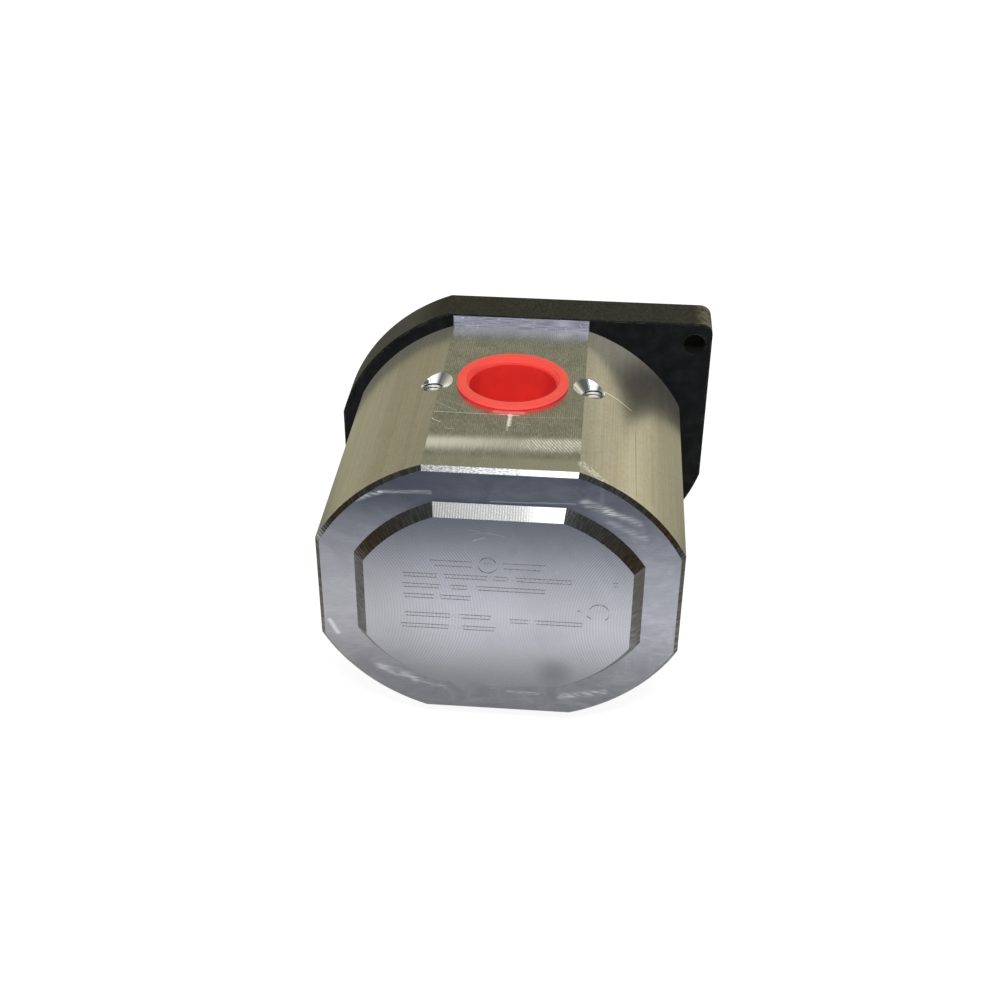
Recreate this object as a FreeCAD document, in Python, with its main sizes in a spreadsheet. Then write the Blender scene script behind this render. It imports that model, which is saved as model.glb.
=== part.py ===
# Hydraulic external gear pump.
#
# A deep aluminium cup-shaped pump body is closed at its front by a black cast-iron mounting flange.  Inside the
# figure-of-eight chamber a driving gear with an integral shaft turns a driven gear.  Both run on plain bushes in
# two floating bearing blocks, each with a figure-of-eight pressure seal and back-up ring behind it.  The suction
# port is on the top flat and the pressure port on the bottom flat, each closed by a push-in plastic plug.
#
# Frame: millimetres, +Z up.  The origin is on the driving shaft's axis, in the plane of the flange's mounting face.
# +Y points out of the pump along the shaft, so the body lies at negative Y.  +X goes from the driving gear to the
# driven gear.  "depth" always means the distance behind the mounting face, that is, -Y.
import FreeCAD, Part
import Sketcher
import math
import os

Vector = FreeCAD.Vector
doc = FreeCAD.newDocument("gear_pump")

# ---------------------------------------------------------------------------------------------------------------
# driving dimensions
# ---------------------------------------------------------------------------------------------------------------
DIMS = dict([
    # how far a cutting tool runs past the face it starts or ends on
    ("overcut", 1.0),
    # outline of the body, centred between the two gears
    ("body_half_width", 82.5), ("body_half_height", 67.5), ("body_arc_radius", 85.0),
    ("arc_centre_across", 7.34), ("arc_centre_down", 13.2), ("body_length", 137.0), ("body_chamfer", 2.0),
    # raised plateau on the rear face: outline at its base and at its crown
    ("base_half_width", 65.0), ("base_half_height", 50.2), ("base_arc_radius", 71.7),
    ("crown_half_width", 60.0), ("crown_half_height", 45.7), ("crown_arc_radius", 67.2),
    ("plateau_arc_across", 4.4), ("plateau_arc_down", 17.1), ("plateau_height", 5.6), ("engraving_depth", 0.28),
    # mounting flange
    ("flange_thickness", 23.5), ("flange_half_width", 95.05), ("flange_half_height", 73.8),
    ("flange_arc_radius", 91.0), ("flange_arc_across", 7.8), ("flange_arc_down", 11.75), ("flange_shift", 1.2),
    ("flange_corner_radius", 6.0), ("flange_edge", 0.7), ("mount_hole_radius", 5.5),
    ("mount_hole_across", 86.3), ("mount_hole_up", 62.6), ("pilot_radius", 40.0), ("pilot_height", 7.0),
    ("pilot_edge", 1.0),
    # gears
    ("gear_half_centres", 28.855), ("gear_teeth", 12), ("gear_modulus", 4.5), ("gear_shift", 0.5),
    ("gear_tip_radius", 32.95), ("gear_thinning", 0.12), ("gear_width", 42.0), ("gear_depth", 61.1),
    ("oil_way_radius", 4.5),
    # chamber
    ("chamber_radius", 33.0), ("chamber_depth", 117.2),
    # bearing blocks, bushes and journals
    ("block_radius", 32.97), ("block_length", 37.5), ("block_gap", 0.05), ("bush_bore_radius", 17.01),
    ("bush_outer_radius", 17.0), ("bush_inner_radius", 15.03), ("bush_length", 36.0), ("journal_radius", 15.0),
    ("journal_edge", 0.5), ("shaft_end_gap", 1.0), ("shaft_end_edge", 1.0),
    ("relief_width", 7.0), ("relief_depth", 1.5), ("relief_near", 8.6), ("relief_far", 13.2),
    # pressure seals in the blocks
    ("seal_groove_outer", 30.1), ("seal_groove_inner", 27.55), ("seal_groove_depth", 4.0),
    ("seal_outer", 30.05), ("seal_inner", 27.62), ("seal_thickness", 2.75), ("backup_thickness", 1.2),
    ("backup_gap", 0.02), ("seal_gap", 0.01),
    # joint ring between body and flange
    ("ring_groove_outer", 38.3), ("ring_groove_inner", 35.5), ("ring_groove_depth", 2.2), ("ring_outer", 38.25),
    ("ring_inner", 35.55), ("ring_thickness", 2.15), ("ring_gap", 0.02),
    # ports and the tapped holes beside them
    ("port_depth", 82.1), ("suction_radius", 23.0), ("suction_passage", 19.0), ("suction_step", 27.0),
    ("pressure_radius", 15.0), ("pressure_passage", 12.0), ("pressure_step", 20.0), ("passage_end", 12.0),
    ("suction_bolt_across", 38.0), ("pressure_bolt_across", 30.0), ("suction_sink_radius", 9.5),
    ("pressure_sink_radius", 7.2), ("sink_overrun", 2.0), ("port_hole_depth", 25.0), ("drill_cone_ratio", 0.6),
    ("port_thread_radius", 5.1), ("port_thread_major", 6.0), ("port_thread_pitch", 1.75),
    ("port_thread_turns", 9), ("port_thread_start", 1.6), ("port_thread_overlap", 0.15),
    ("port_thread_flare", 0.13),
    # thread grooves: share of the pitch they take, and half the width of their flat bottom
    ("thread_share", 0.62), ("thread_root_half", 0.06),
    # flange screws, washers, dowels
    ("screw_across", 60.0), ("screw_up", 43.0), ("screw_mid_up", 53.0), ("screw_radius", 6.0),
    ("screw_length", 40.0), ("screw_head_radius", 9.0), ("screw_head_height", 12.0), ("screw_head_edge", 0.9),
    ("screw_tip_edge", 1.2), ("screw_socket_half", 5.0), ("screw_socket_depth", 6.0),
    ("screw_hole_radius", 6.6), ("screw_bore_radius", 10.0), ("screw_bore_depth", 15.5),
    ("screw_tap_radius", 6.02), ("screw_tap_depth", 33.0), ("washer_outer", 9.5), ("washer_inner", 6.3),
    ("washer_thickness", 2.5), ("dowel_across", 74.2), ("dowel_radius", 4.0), ("dowel_hole_radius", 4.01),
    ("dowel_length", 18.0), ("dowel_hole_depth", 9.3),
    # shaft seals, their spacer and retaining ring
    ("shaft_hole_radius", 16.0), ("seal_bore_radius", 23.5), ("seal_bore_depth", 20.0),
    ("lip_seal_outer", 23.49), ("lip_seal_lip", 15.03), ("lip_seal_width", 7.0), ("lip_seal_gap", 0.01),
    ("spacer_width", 2.0), ("spacer_gap", 0.02), ("spacer_inner", 18.0), ("garter_radius", 17.1),
    ("garter_wire", 0.7), ("garter_setback", 4.74), ("clip_groove_radius", 24.75), ("clip_groove_width", 1.85),
    ("clip_groove_front", 4.85), ("clip_play", 0.05), ("clip_outer", 24.7), ("clip_inner", 21.0),
    ("clip_thickness", 1.75), ("clip_lug_radius", 3.0), ("clip_lug_across", 6.4), ("clip_lug_inset", 1.0),
    ("clip_eye_radius", 1.25), ("clip_eye_inset", 1.2), ("clip_gap_half", 3.6), ("clip_gap_low", 12.0),
    ("clip_gap_high", 30.0),
    # driving shaft end, 1:8 taper, with its key, nut and washer
    ("taper_start", 12.0), ("taper_end", 46.0), ("taper_large", 14.0), ("taper_small", 11.875),
    ("stud_radius", 10.0), ("stud_end", 66.0), ("stud_edge", 1.4), ("stud_pitch", 1.5), ("stud_turns", 12),
    ("stud_thread_start", 2.4), ("stud_thread_depth", 0.9), ("stud_thread_overlap", 0.1),
    ("stud_thread_flare", 0.1), ("key_width", 6.0), ("key_radius", 11.0), ("key_centre", 28.0),
    ("key_rise", 5.1), ("key_clearance", 0.02), ("key_top_height", 15.4), ("key_top_reach", 15.0),
    ("key_cut_top", 30.0), ("nut_half_flats", 15.0), ("nut_height", 11.0), ("nut_bore", 10.03),
    ("nut_crown_inset", 0.4), ("nut_crown_reach", 4.0), ("nut_crown_drop", 2.4), ("nut_crown_lift", 0.001),
    ("shaft_washer_outer", 18.5), ("shaft_washer_inner", 10.5), ("shaft_washer_thickness", 3.0),
    # port plugs
    ("plug_flange_radius", 26.35), ("plug_flange_thickness", 2.2), ("plug_seat_gap", 0.3),
    ("plug_top_radius", 22.6), ("plug_tip_radius", 20.9), ("plug_depth", 23.0), ("plug_wall", 1.4),
    ("plug_step", 0.7), ("plug_edge", 0.5), ("plug_tip_edge", 1.0), ("plug_floor", 1.5),
    ("plug_centre_floor", 1.9), ("plug_centre_radius", 3.4), ("plug_centre_foot", 4.0),
    ("small_plug_flange_radius", 18.2), ("small_plug_top_radius", 14.6), ("small_plug_tip_radius", 13.6),
    ("small_plug_depth", 14.0),
])
sheet = doc.addObject("Spreadsheet::Sheet", "Dims")
for row, (alias, size) in enumerate(DIMS.items(), start=1):
    sheet.set("A%d" % row, alias)
    sheet.set("B%d" % row, repr(size))
    sheet.setAlias("B%d" % row, alias)
doc.recompute()


# ---------------------------------------------------------------------------------------------------------------
# expressions: a plain number, or a string of aliases, numbers, + - * / and brackets
# ---------------------------------------------------------------------------------------------------------------
def split(expr):
    """Words and signs of an expression, in order."""
    tokens, word = [], ""
    for char in expr + " ":
        if char.isalnum() or char in "_.":
            word += char
            continue
        if word:
            tokens.append(word)
            word = ""
        if char != " ":
            tokens.append(char)
    return tokens


def value(expr):
    """The number behind an expression."""
    if isinstance(expr, (int, float)):
        return float(expr)
    tokens = split(expr)[::-1]

    def atom():
        token = tokens.pop()
        if token == "-":
            return -atom()
        if token == "(":
            inside = total()
            tokens.pop()
            return inside
        return float(DIMS[token] if token in DIMS else token)

    def product():
        result = atom()
        while tokens and tokens[-1] in "*/":
            result = result * atom() if tokens.pop() == "*" else result / atom()
        return result

    def total():
        result = product()
        while tokens and tokens[-1] in "+-":
            result = result + product() if tokens.pop() == "+" else result - product()
        return result

    return total()


def bound(expr):
    """The same expression spelled out with the sheet's cells, or None for a plain number."""
    if isinstance(expr, (int, float)):
        return None
    return "".join("Dims." + token if token in DIMS else token for token in split(expr))


def bind(obj, prop, expr):
    setattr(obj, prop, value(expr))
    obj.setExpression(prop, bound(expr))


# ---------------------------------------------------------------------------------------------------------------
# sketches
# ---------------------------------------------------------------------------------------------------------------
def new_body(label, x=None, z=None):
    body = doc.addObject("PartDesign::Body", label)
    body.Label = label
    for axis, expr in (("x", x), ("z", z)):
        if expr is not None:
            body.setExpression("Placement.Base." + axis, bound(expr))
    return body


def origin(body, role):
    return [item for item in body.Origin.OriginFeatures if item.Role == role][0]


def new_sketch(body, name, offset=0, role="XZ_Plane"):
    """A sketch on one of the body's origin planes.  On XZ_Plane its normal is -Y, so an offset is a depth."""
    sketch = body.newObject("Sketcher::SketchObject", name)
    sketch.AttachmentSupport = [(origin(body, role), "")]
    sketch.MapMode = "FlatFace"
    sketch.AttachmentOffset = FreeCAD.Placement(Vector(0, 0, value(offset)), FreeCAD.Rotation())
    if bound(offset):
        sketch.setExpression("AttachmentOffset.Base.z", bound(offset))
    return sketch


def pin(sketch, geo, pos, expr, axis):
    """Fixes one coordinate of a point from the sketch's origin, bound to the sheet."""
    distance = value(expr)
    if abs(distance) < 1e-9:
        sketch.addConstraint(Sketcher.Constraint("PointOnObject", geo, pos, -2 if axis == "x" else -1))
        return
    kind = "DistanceX" if axis == "x" else "DistanceY"
    formula = bound(expr)
    if distance > 0:
        index = sketch.addConstraint(Sketcher.Constraint(kind, -1, 1, geo, pos, distance))
    else:
        index = sketch.addConstraint(Sketcher.Constraint(kind, geo, pos, -1, 1, -distance))
        formula = formula and "-(" + formula + ")"
    if formula:
        sketch.setExpression("Constraints[%d]" % index, formula)


def fix_round(sketch, geo, x, y, radius):
    """Fixes radius and centre of a circle or an arc."""
    index = sketch.addConstraint(Sketcher.Constraint("Radius", geo, value(radius)))
    if bound(radius):
        sketch.setExpression("Constraints[%d]" % index, bound(radius))
    pin(sketch, geo, 3, x, "x")
    pin(sketch, geo, 3, y, "y")


def curve(x, y, radius):
    return Part.Circle(Vector(value(x), value(y), 0), Vector(0, 0, 1), value(radius))


def circle(sketch, x, y, radius):
    geo = sketch.addGeometry(curve(x, y, radius), False)
    fix_round(sketch, geo, x, y, radius)


def arc(sketch, x, y, radius, start, end):
    """An arc, counter-clockwise between two angles."""
    geo = sketch.addGeometry(Part.ArcOfCircle(curve(x, y, radius), start, end), False)
    fix_round(sketch, geo, x, y, radius)
    return geo


def arc_between(sketch, x, y, radius, start, end):
    """An arc, counter-clockwise between two points."""
    angles = [math.atan2(point[1] - value(y), point[0] - value(x)) for point in (start, end)]
    return arc(sketch, x, y, radius, *angles)


def flat(sketch, start, end, expr, axis):
    """A line along one sketch axis at a bound distance from the other one."""
    geo = sketch.addGeometry(Part.LineSegment(Vector(*start, 0), Vector(*end, 0)), False)
    sketch.addConstraint(Sketcher.Constraint("Vertical" if axis == "x" else "Horizontal", geo))
    pin(sketch, geo, 1, expr, axis)
    return geo


def join(sketch, *pairs):
    """Each pair: geometry and end (1 start, 2 end), then the geometry and end it meets."""
    for pair in pairs:
        sketch.addConstraint(Sketcher.Constraint("Coincident", *pair))


def loose_polygon(sketch, points):
    """A closed chain of lines through plain numbers, joined but not pinned."""
    count = len(points)
    ends = [Vector(x, y, 0) for x, y in points]
    geos = [sketch.addGeometry(Part.LineSegment(ends[i], ends[(i + 1) % count]), False) for i in range(count)]
    join(sketch, *[(geos[i], 2, geos[(i + 1) % count], 1) for i in range(count)])
    return geos


def polygon(sketch, points):
    """A closed chain of lines whose corners are bound to the sheet, coordinate by coordinate."""
    geos = loose_polygon(sketch, [(value(x), value(y)) for x, y in points])
    for geo, (x, y) in zip(geos, points):
        pin(sketch, geo, 1, x, "x")
        pin(sketch, geo, 1, y, "y")


def separate_lines(sketch, points):
    """A closed chain of lines without constraints."""
    ends = [Vector(x, y, 0) for x, y in points]
    lines = [Part.LineSegment(ends[i], ends[(i + 1) % len(ends)]) for i in range(len(ends))]
    sketch.addGeometry(lines, False)


def hexagon(sketch, half_flats, turn=0):
    corner = value(half_flats) / math.cos(math.pi / 6)
    angles = [math.radians(60 * i + turn) for i in range(6)]
    loose_polygon(sketch, [(corner * math.cos(angle), corner * math.sin(angle)) for angle in angles])


def upright_axis(sketch, x):
    """A construction line along the sketch's vertical, to turn a groove about."""
    geo = sketch.addGeometry(Part.LineSegment(Vector(value(x), 0, 0), Vector(value(x), 10, 0)), True)
    sketch.addConstraint(Sketcher.Constraint("Vertical", geo))
    pin(sketch, geo, 1, x, "x")


def eight(sketch, half, radius):
    """Outline of two overlapping circles, side by side."""
    angle = math.acos(value(half) / value(radius))
    right = arc(sketch, half, 0, radius, -math.pi + angle, math.pi - angle)
    left = arc(sketch, "-" + half, 0, radius, angle, 2 * math.pi - angle)
    join(sketch, (right, 2, left, 1), (left, 2, right, 1))


def arc_ends(side, top, radius, across, down):
    """Where a large corner arc meets the top flat (its x) and the side flat (its z)."""
    side, top, radius, across, down = (value(expr) for expr in (side, top, radius, across, down))
    return (across + math.sqrt(radius ** 2 - (top + down) ** 2),
            -down + math.sqrt(radius ** 2 - (side - across) ** 2))


def rounded_outline(sketch, side, top, radius, across, down):
    """Four flats joined by four large arcs.  Each arc's centre lies beyond the middle, across and down from it."""
    meet_x, meet_z = arc_ends(side, top, radius, across, down)
    side_x, top_z = value(side), value(top)
    upper = flat(sketch, (-meet_x, top_z), (meet_x, top_z), top, "y")
    right = flat(sketch, (side_x, meet_z), (side_x, -meet_z), side, "x")
    lower = flat(sketch, (meet_x, -top_z), (-meet_x, -top_z), "-" + top, "y")
    left = flat(sketch, (-side_x, -meet_z), (-side_x, meet_z), "-" + side, "x")
    upper_right = arc_between(sketch, across, "-" + down, radius, (side_x, meet_z), (meet_x, top_z))
    upper_left = arc_between(sketch, "-" + across, "-" + down, radius, (-meet_x, top_z), (-side_x, meet_z))
    lower_left = arc_between(sketch, "-" + across, down, radius, (-side_x, -meet_z), (-meet_x, -top_z))
    lower_right = arc_between(sketch, across, down, radius, (meet_x, -top_z), (side_x, -meet_z))
    join(sketch, (upper, 2, upper_right, 2), (upper_right, 1, right, 1), (right, 2, lower_right, 2),
         (lower_right, 1, lower, 1), (lower, 2, lower_left, 2), (lower_left, 1, left, 1),
         (left, 2, upper_left, 2), (upper_left, 1, upper, 1))


def circles(body, name, offset, *rounds, role="XZ_Plane"):
    """A sketch of circles, each given as x, y, radius."""
    sketch = new_sketch(body, name, offset, role)
    for x, y, radius in rounds:
        circle(sketch, x, y, radius)
    return sketch


def outline(body, name, points, offset=0, role="XZ_Plane"):
    """A sketch of one bound polygon."""
    sketch = new_sketch(body, name, offset, role)
    polygon(sketch, points)
    return sketch


# ---------------------------------------------------------------------------------------------------------------
# features
# ---------------------------------------------------------------------------------------------------------------
def feature(body, kind, name, sketch, **props):
    result = body.newObject("PartDesign::" + kind, name)
    result.Profile = sketch
    sketch.Visibility = False
    for prop, setting in props.items():
        setattr(result, prop, setting)
    body.Tip = result
    return result


def solid_volume(body):
    doc.recompute()
    return body.Shape.Volume


def check_removed(body, name, before):
    if solid_volume(body) > before - 0.001:
        raise RuntimeError("%s removed nothing" % name)


def cut(body, name, sketch, length, forward=True):
    """A pocket that runs along the sketch's normal (forward) or against it."""
    before = solid_volume(body)
    pocket = feature(body, "Pocket", name, sketch, Reversed=forward)
    bind(pocket, "Length", length)
    check_removed(body, name, before)


def pad(body, name, sketch, length, forward=True):
    block = feature(body, "Pad", name, sketch, Reversed=not forward)
    bind(block, "Length", length)
    doc.recompute()


def revolve(body, name, sketch):
    feature(body, "Revolution", name, sketch, ReferenceAxis=(sketch, ["V_Axis"]), Angle=360.0)
    doc.recompute()


def groove(body, name, sketch, axis="V_Axis"):
    before = solid_volume(body)
    result = feature(body, "Groove", name, sketch, ReferenceAxis=(sketch, [axis]), Angle=360.0)
    check_removed(body, name, before)
    return result


def pattern(body, name, original, role, pitch, turns, reverse):
    row = body.newObject("PartDesign::LinearPattern", name)
    row.Originals = [original]
    row.Direction = (origin(body, role), [""])
    row.Reversed = reverse
    bind(row, "Length", f"{pitch}*({turns}-1)")
    row.Occurrences = int(value(turns))
    row.setExpression("Occurrences", bound(turns))
    body.Tip = row
    doc.recompute()


def dress(body, kind, name, test, prop, size):
    """A chamfer or fillet on every edge that passes the test."""
    doc.recompute()
    tip = body.Tip
    names = ["Edge%d" % i for i, edge in enumerate(tip.Shape.Edges, start=1) if test(edge)]
    if not names:
        raise RuntimeError("%s found no edges" % name)
    result = body.newObject("PartDesign::" + kind, name)
    result.Base = (tip, names)
    bind(result, prop, size)
    body.Tip = result
    doc.recompute()


def lies_at(edge, y):
    """True for an edge that lies wholly in the plane at this y."""
    box = edge.BoundBox
    return abs(box.YMin - y) < 1e-4 and abs(box.YMax - y) < 1e-4


def thread_points(mouth, root, middle, pitch, flare):
    """Section of one thread groove: its mouth and root radii, and its middle along the thread's axis."""
    half = f"{pitch}*thread_share*0.5+{flare}"
    return [(mouth, f"{middle}+{half}"), (root, f"{middle}+thread_root_half"),
            (root, f"{middle}-thread_root_half"), (mouth, f"{middle}-({half})")]


def tube(body, sketch_name, pad_name, offset, outer, inner, length):
    pad(body, pad_name, circles(body, sketch_name, offset, (0, 0, outer), (0, 0, inner)), length)


def compound(label, links):
    group = doc.addObject("Part::Compound", label)
    group.Label = label
    group.Links = links


def lay_along_y(obj, y, angle, x=None):
    """Turns a primitive's axis from Z to Y (90 points it to -Y, -90 to +Y) and places it."""
    obj.Placement = FreeCAD.Placement(Vector(0, 0, 0), FreeCAD.Rotation(Vector(1, 0, 0), angle))
    if x is not None:
        obj.setExpression("Placement.Base.x", bound(x))
    obj.setExpression("Placement.Base.y", bound(y))


# ---------------------------------------------------------------------------------------------------------------
# places shared by several pieces
# ---------------------------------------------------------------------------------------------------------------
FLANGE = "flange_thickness"
HALF = "gear_half_centres"
DRIVEN_X = "gear_half_centres*2"
REAR_FACE = "flange_thickness+body_length"
CROWN_FACE = REAR_FACE + "+plateau_height"
CHAMBER_END = "flange_thickness+chamber_depth"
SHAFT_REAR = "-(flange_thickness+chamber_depth-shaft_end_gap)"
FRONT_BLOCK = "flange_thickness+block_gap"
REAR_BLOCK_END = CHAMBER_END + "-block_gap"
REAR_BLOCK = REAR_BLOCK_END + "-block_length"
SCREW_SEAT = "screw_bore_depth-washer_thickness"
INNER_SEAL_BACK = "seal_bore_depth-pilot_height"
OUTER_SEAL_BACK = INNER_SEAL_BACK + "-lip_seal_width-spacer_width"

# x and z from the middle of the pump
SCREWS = [("screw_across", "screw_up"), ("-screw_across", "screw_up"), ("screw_across", "-screw_up"),
          ("-screw_across", "-screw_up"), ("0", "screw_mid_up"), ("0", "-screw_mid_up")]
DOWELS = ["dowel_across", "-dowel_across"]
DOWEL_HOLES = [(x, 0, "dowel_hole_radius") for x in DOWELS]


# ---------------------------------------------------------------------------------------------------------------
# pump body: a deep cup machined from aluminium, open at the flange and closed at the rear
# ---------------------------------------------------------------------------------------------------------------
def build_pump_body():
    body = new_body("pump_body", x=HALF)
    sketch = new_sketch(body, "body_outline", FLANGE)
    rounded_outline(sketch, "body_half_width", "body_half_height", "body_arc_radius", "arc_centre_across",
                    "arc_centre_down")
    pad(body, "body_block", sketch, "body_length")
    rear = -value(REAR_FACE)
    dress(body, "Chamfer", "rear_edge", lambda edge: lies_at(edge, rear), "Size", "body_chamfer")

    base, crown = new_sketch(body, "plateau_base", REAR_FACE), None
    rounded_outline(base, "base_half_width", "base_half_height", "base_arc_radius", "plateau_arc_across",
                    "plateau_arc_down")
    crown = new_sketch(body, "plateau_top", CROWN_FACE)
    rounded_outline(crown, "crown_half_width", "crown_half_height", "crown_arc_radius", "plateau_arc_across",
                    "plateau_arc_down")
    feature(body, "AdditiveLoft", "plateau", base, Sections=[crown], Ruled=True)
    doc.recompute()

    sketch = new_sketch(body, "chamber_outline", FLANGE)
    eight(sketch, HALF, "chamber_radius")
    cut(body, "chamber", sketch, "chamber_depth")
    sketch = new_sketch(body, "joint_ring_outline", FLANGE)
    eight(sketch, HALF, "ring_groove_outer")
    eight(sketch, HALF, "ring_groove_inner")
    cut(body, "joint_ring_groove", sketch, "ring_groove_depth")

    taps = [(x, z, "screw_tap_radius") for x, z in SCREWS]
    cut(body, "flange_tapped_holes", circles(body, "flange_taps", FLANGE, *taps), "screw_tap_depth")
    cut(body, "dowel_holes", circles(body, "dowel_circles", FLANGE, *DOWEL_HOLES), "dowel_hole_depth")

    sides = (("suction", ""), ("pressure", "-"))
    for side, sign in sides:
        cut_port(body, side, sign)
    for side, sign in sides:
        for hand, hand_sign in (("right", ""), ("left", "-")):
            cut_tapped_hole(body, side, sign, f"{side}_{hand}", f"{hand_sign}({side}_bolt_across)")
    engrave(body)


def cut_port(body, side, sign):
    """A counterbore that takes the plug, then a passage into the meshing zone."""
    radius, passage = f"{side}_radius", f"{side}_passage"
    face = f"{sign}(body_half_height+overcut)"
    seat = f"{sign}(body_half_height-{side}_step)"
    end = f"{sign}passage_end"
    points = [(0, face), (radius, face), (radius, seat), (passage, seat), (passage, end), (0, end)]
    groove(body, f"{side}_port", outline(body, f"{side}_port_profile", points, "port_depth"))


def cut_tapped_hole(body, side, sign, tag, x):
    """A tapped hole beside a port, with a wide 90 degree countersink that breaks over the edge of the flat."""
    mouth = f"{sign}(body_half_height+sink_overrun)"
    sink_bottom = f"body_half_height-{side}_sink_radius+port_thread_radius"
    points = [(x, mouth), (f"{x}+{side}_sink_radius+sink_overrun", mouth),
              (f"{x}+port_thread_radius", f"{sign}({sink_bottom})"),
              (f"{x}+port_thread_radius", f"{sign}(body_half_height-port_hole_depth)"),
              (x, f"{sign}(body_half_height-port_hole_depth-drill_cone_ratio*port_thread_radius)")]
    sketch = outline(body, tag + "_tap_profile", points, "port_depth")
    upright_axis(sketch, x)
    groove(body, tag + "_tapped_hole", sketch, "Axis0")

    points = thread_points(f"{x}+port_thread_radius-port_thread_overlap", f"{x}+port_thread_major",
                           f"{sign}({sink_bottom}-port_thread_start)", "port_thread_pitch",
                           "port_thread_flare")
    sketch = outline(body, tag + "_thread_profile", points, "port_depth")
    upright_axis(sketch, x)
    turn = groove(body, tag + "_thread_turn", sketch, "Axis0")
    pattern(body, tag + "_thread", turn, "Z_Axis", "port_thread_pitch", "port_thread_turns",
            reverse=(sign == ""))


# Rows of ruled data lines: z of the row's middle, then the start and end x of each run.
ENGRAVED_ROWS = [
    (14.6, [(-42.5, -27.0), (-24.0, -4.5), (-1.5, 4.0), (8.0, 33.0), (51.0, 53.5)]),
    (8.8, [(-42.7, -26.0), (-21.0, -13.5), (-9.5, 21.5)]),
    (3.0, [(-42.4, -28.5), (-26.0, -12.0)]),
    (-7.4, [(-42.0, -21.5), (-17.0, -3.0)]),
    (-8.6, [(5.5, 14.0), (17.0, 38.5)]),
    (-13.8, [(-44.0, -22.0), (-16.0, -1.0)]),
]
ROW_HALF_HEIGHT = 1.15
ROW_LINE_WIDTH = 0.36
LOWER_LINE_INSETS = (0.6, 0.3)      # at the start and at the end of a run
SYMBOL_CENTRE = (-4.5, 21.6)
SYMBOL_RADII = (4.3, 3.8)
SYMBOL_TRIANGLE = [(-1.9, 0.6), (1.9, 0.6), (0, 3.2)]      # from the symbol's centre
# Thin rules beside the symbol: start and end x of the upper one, then of the lower one.
SYMBOL_RULES = [((-30.0, -11.5), (-28.0, -11.5)), ((2.5, 21.0), (2.5, 19.0))]
SYMBOL_RULE_NEAR, SYMBOL_RULE_FAR = 1.2, 1.6      # above and below the symbol's centre
DOT = (36.5, -0.5, 0.6)      # x, z, radius
ARROW_CENTRE = (45.5, -1.5)
ARROW_OUTER, ARROW_INNER = 5.0, 4.5
ARROW_START, ARROW_END = math.radians(-50), math.radians(200)
ARROW_STEPS = 24
ARROW_BARB = 0.9      # how far the head stands out on each side of the band
ARROW_HEAD_ANGLE = 0.5      # radians from the end of the band to the point of the head


def rectangle(sketch, x_start, z_start, x_end, z_end):
    separate_lines(sketch, [(x_start, z_start), (x_end, z_start), (x_end, z_end), (x_start, z_end)])


def arrow_points():
    """A thick three-quarter ring with a head, as one closed chain."""
    def at(radius, angle):
        return (ARROW_CENTRE[0] + radius * math.cos(angle), ARROW_CENTRE[1] + radius * math.sin(angle))

    steps = [(ARROW_END - ARROW_START) * i / ARROW_STEPS for i in range(ARROW_STEPS + 1)]
    head = [at(ARROW_OUTER + ARROW_BARB, ARROW_END),
            at((ARROW_OUTER + ARROW_INNER) / 2, ARROW_END + ARROW_HEAD_ANGLE),
            at(ARROW_INNER - ARROW_BARB, ARROW_END)]
    return ([at(ARROW_OUTER, ARROW_START + step) for step in steps] + head
            + [at(ARROW_INNER, ARROW_END - step) for step in steps])


def engrave(body):
    """On the plateau: ruled lines without lettering, the graphic symbol of a pump, a dot, a rotation arrow."""
    sketch = new_sketch(body, "engraving", CROWN_FACE)
    start_inset, end_inset = LOWER_LINE_INSETS
    for middle, runs in ENGRAVED_ROWS:
        top, bottom = middle + ROW_HALF_HEIGHT, middle - ROW_HALF_HEIGHT
        for start, end in runs:
            rectangle(sketch, start, top - ROW_LINE_WIDTH, end, top)
            rectangle(sketch, start + start_inset, bottom, end - end_inset, bottom + ROW_LINE_WIDTH)
    symbol_x, symbol_z = SYMBOL_CENTRE
    for radius in SYMBOL_RADII:
        circle(sketch, symbol_x, symbol_z, radius)
    separate_lines(sketch, [(symbol_x + x, symbol_z + z) for x, z in SYMBOL_TRIANGLE])
    for upper, lower in SYMBOL_RULES:
        rectangle(sketch, upper[0], symbol_z + SYMBOL_RULE_NEAR, upper[1], symbol_z + SYMBOL_RULE_FAR)
        rectangle(sketch, lower[0], symbol_z - SYMBOL_RULE_FAR, lower[1], symbol_z - SYMBOL_RULE_NEAR)
    circle(sketch, *DOT)
    loose_polygon(sketch, arrow_points())
    cut(body, "engraved_lines", sketch, "engraving_depth", forward=False)


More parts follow.
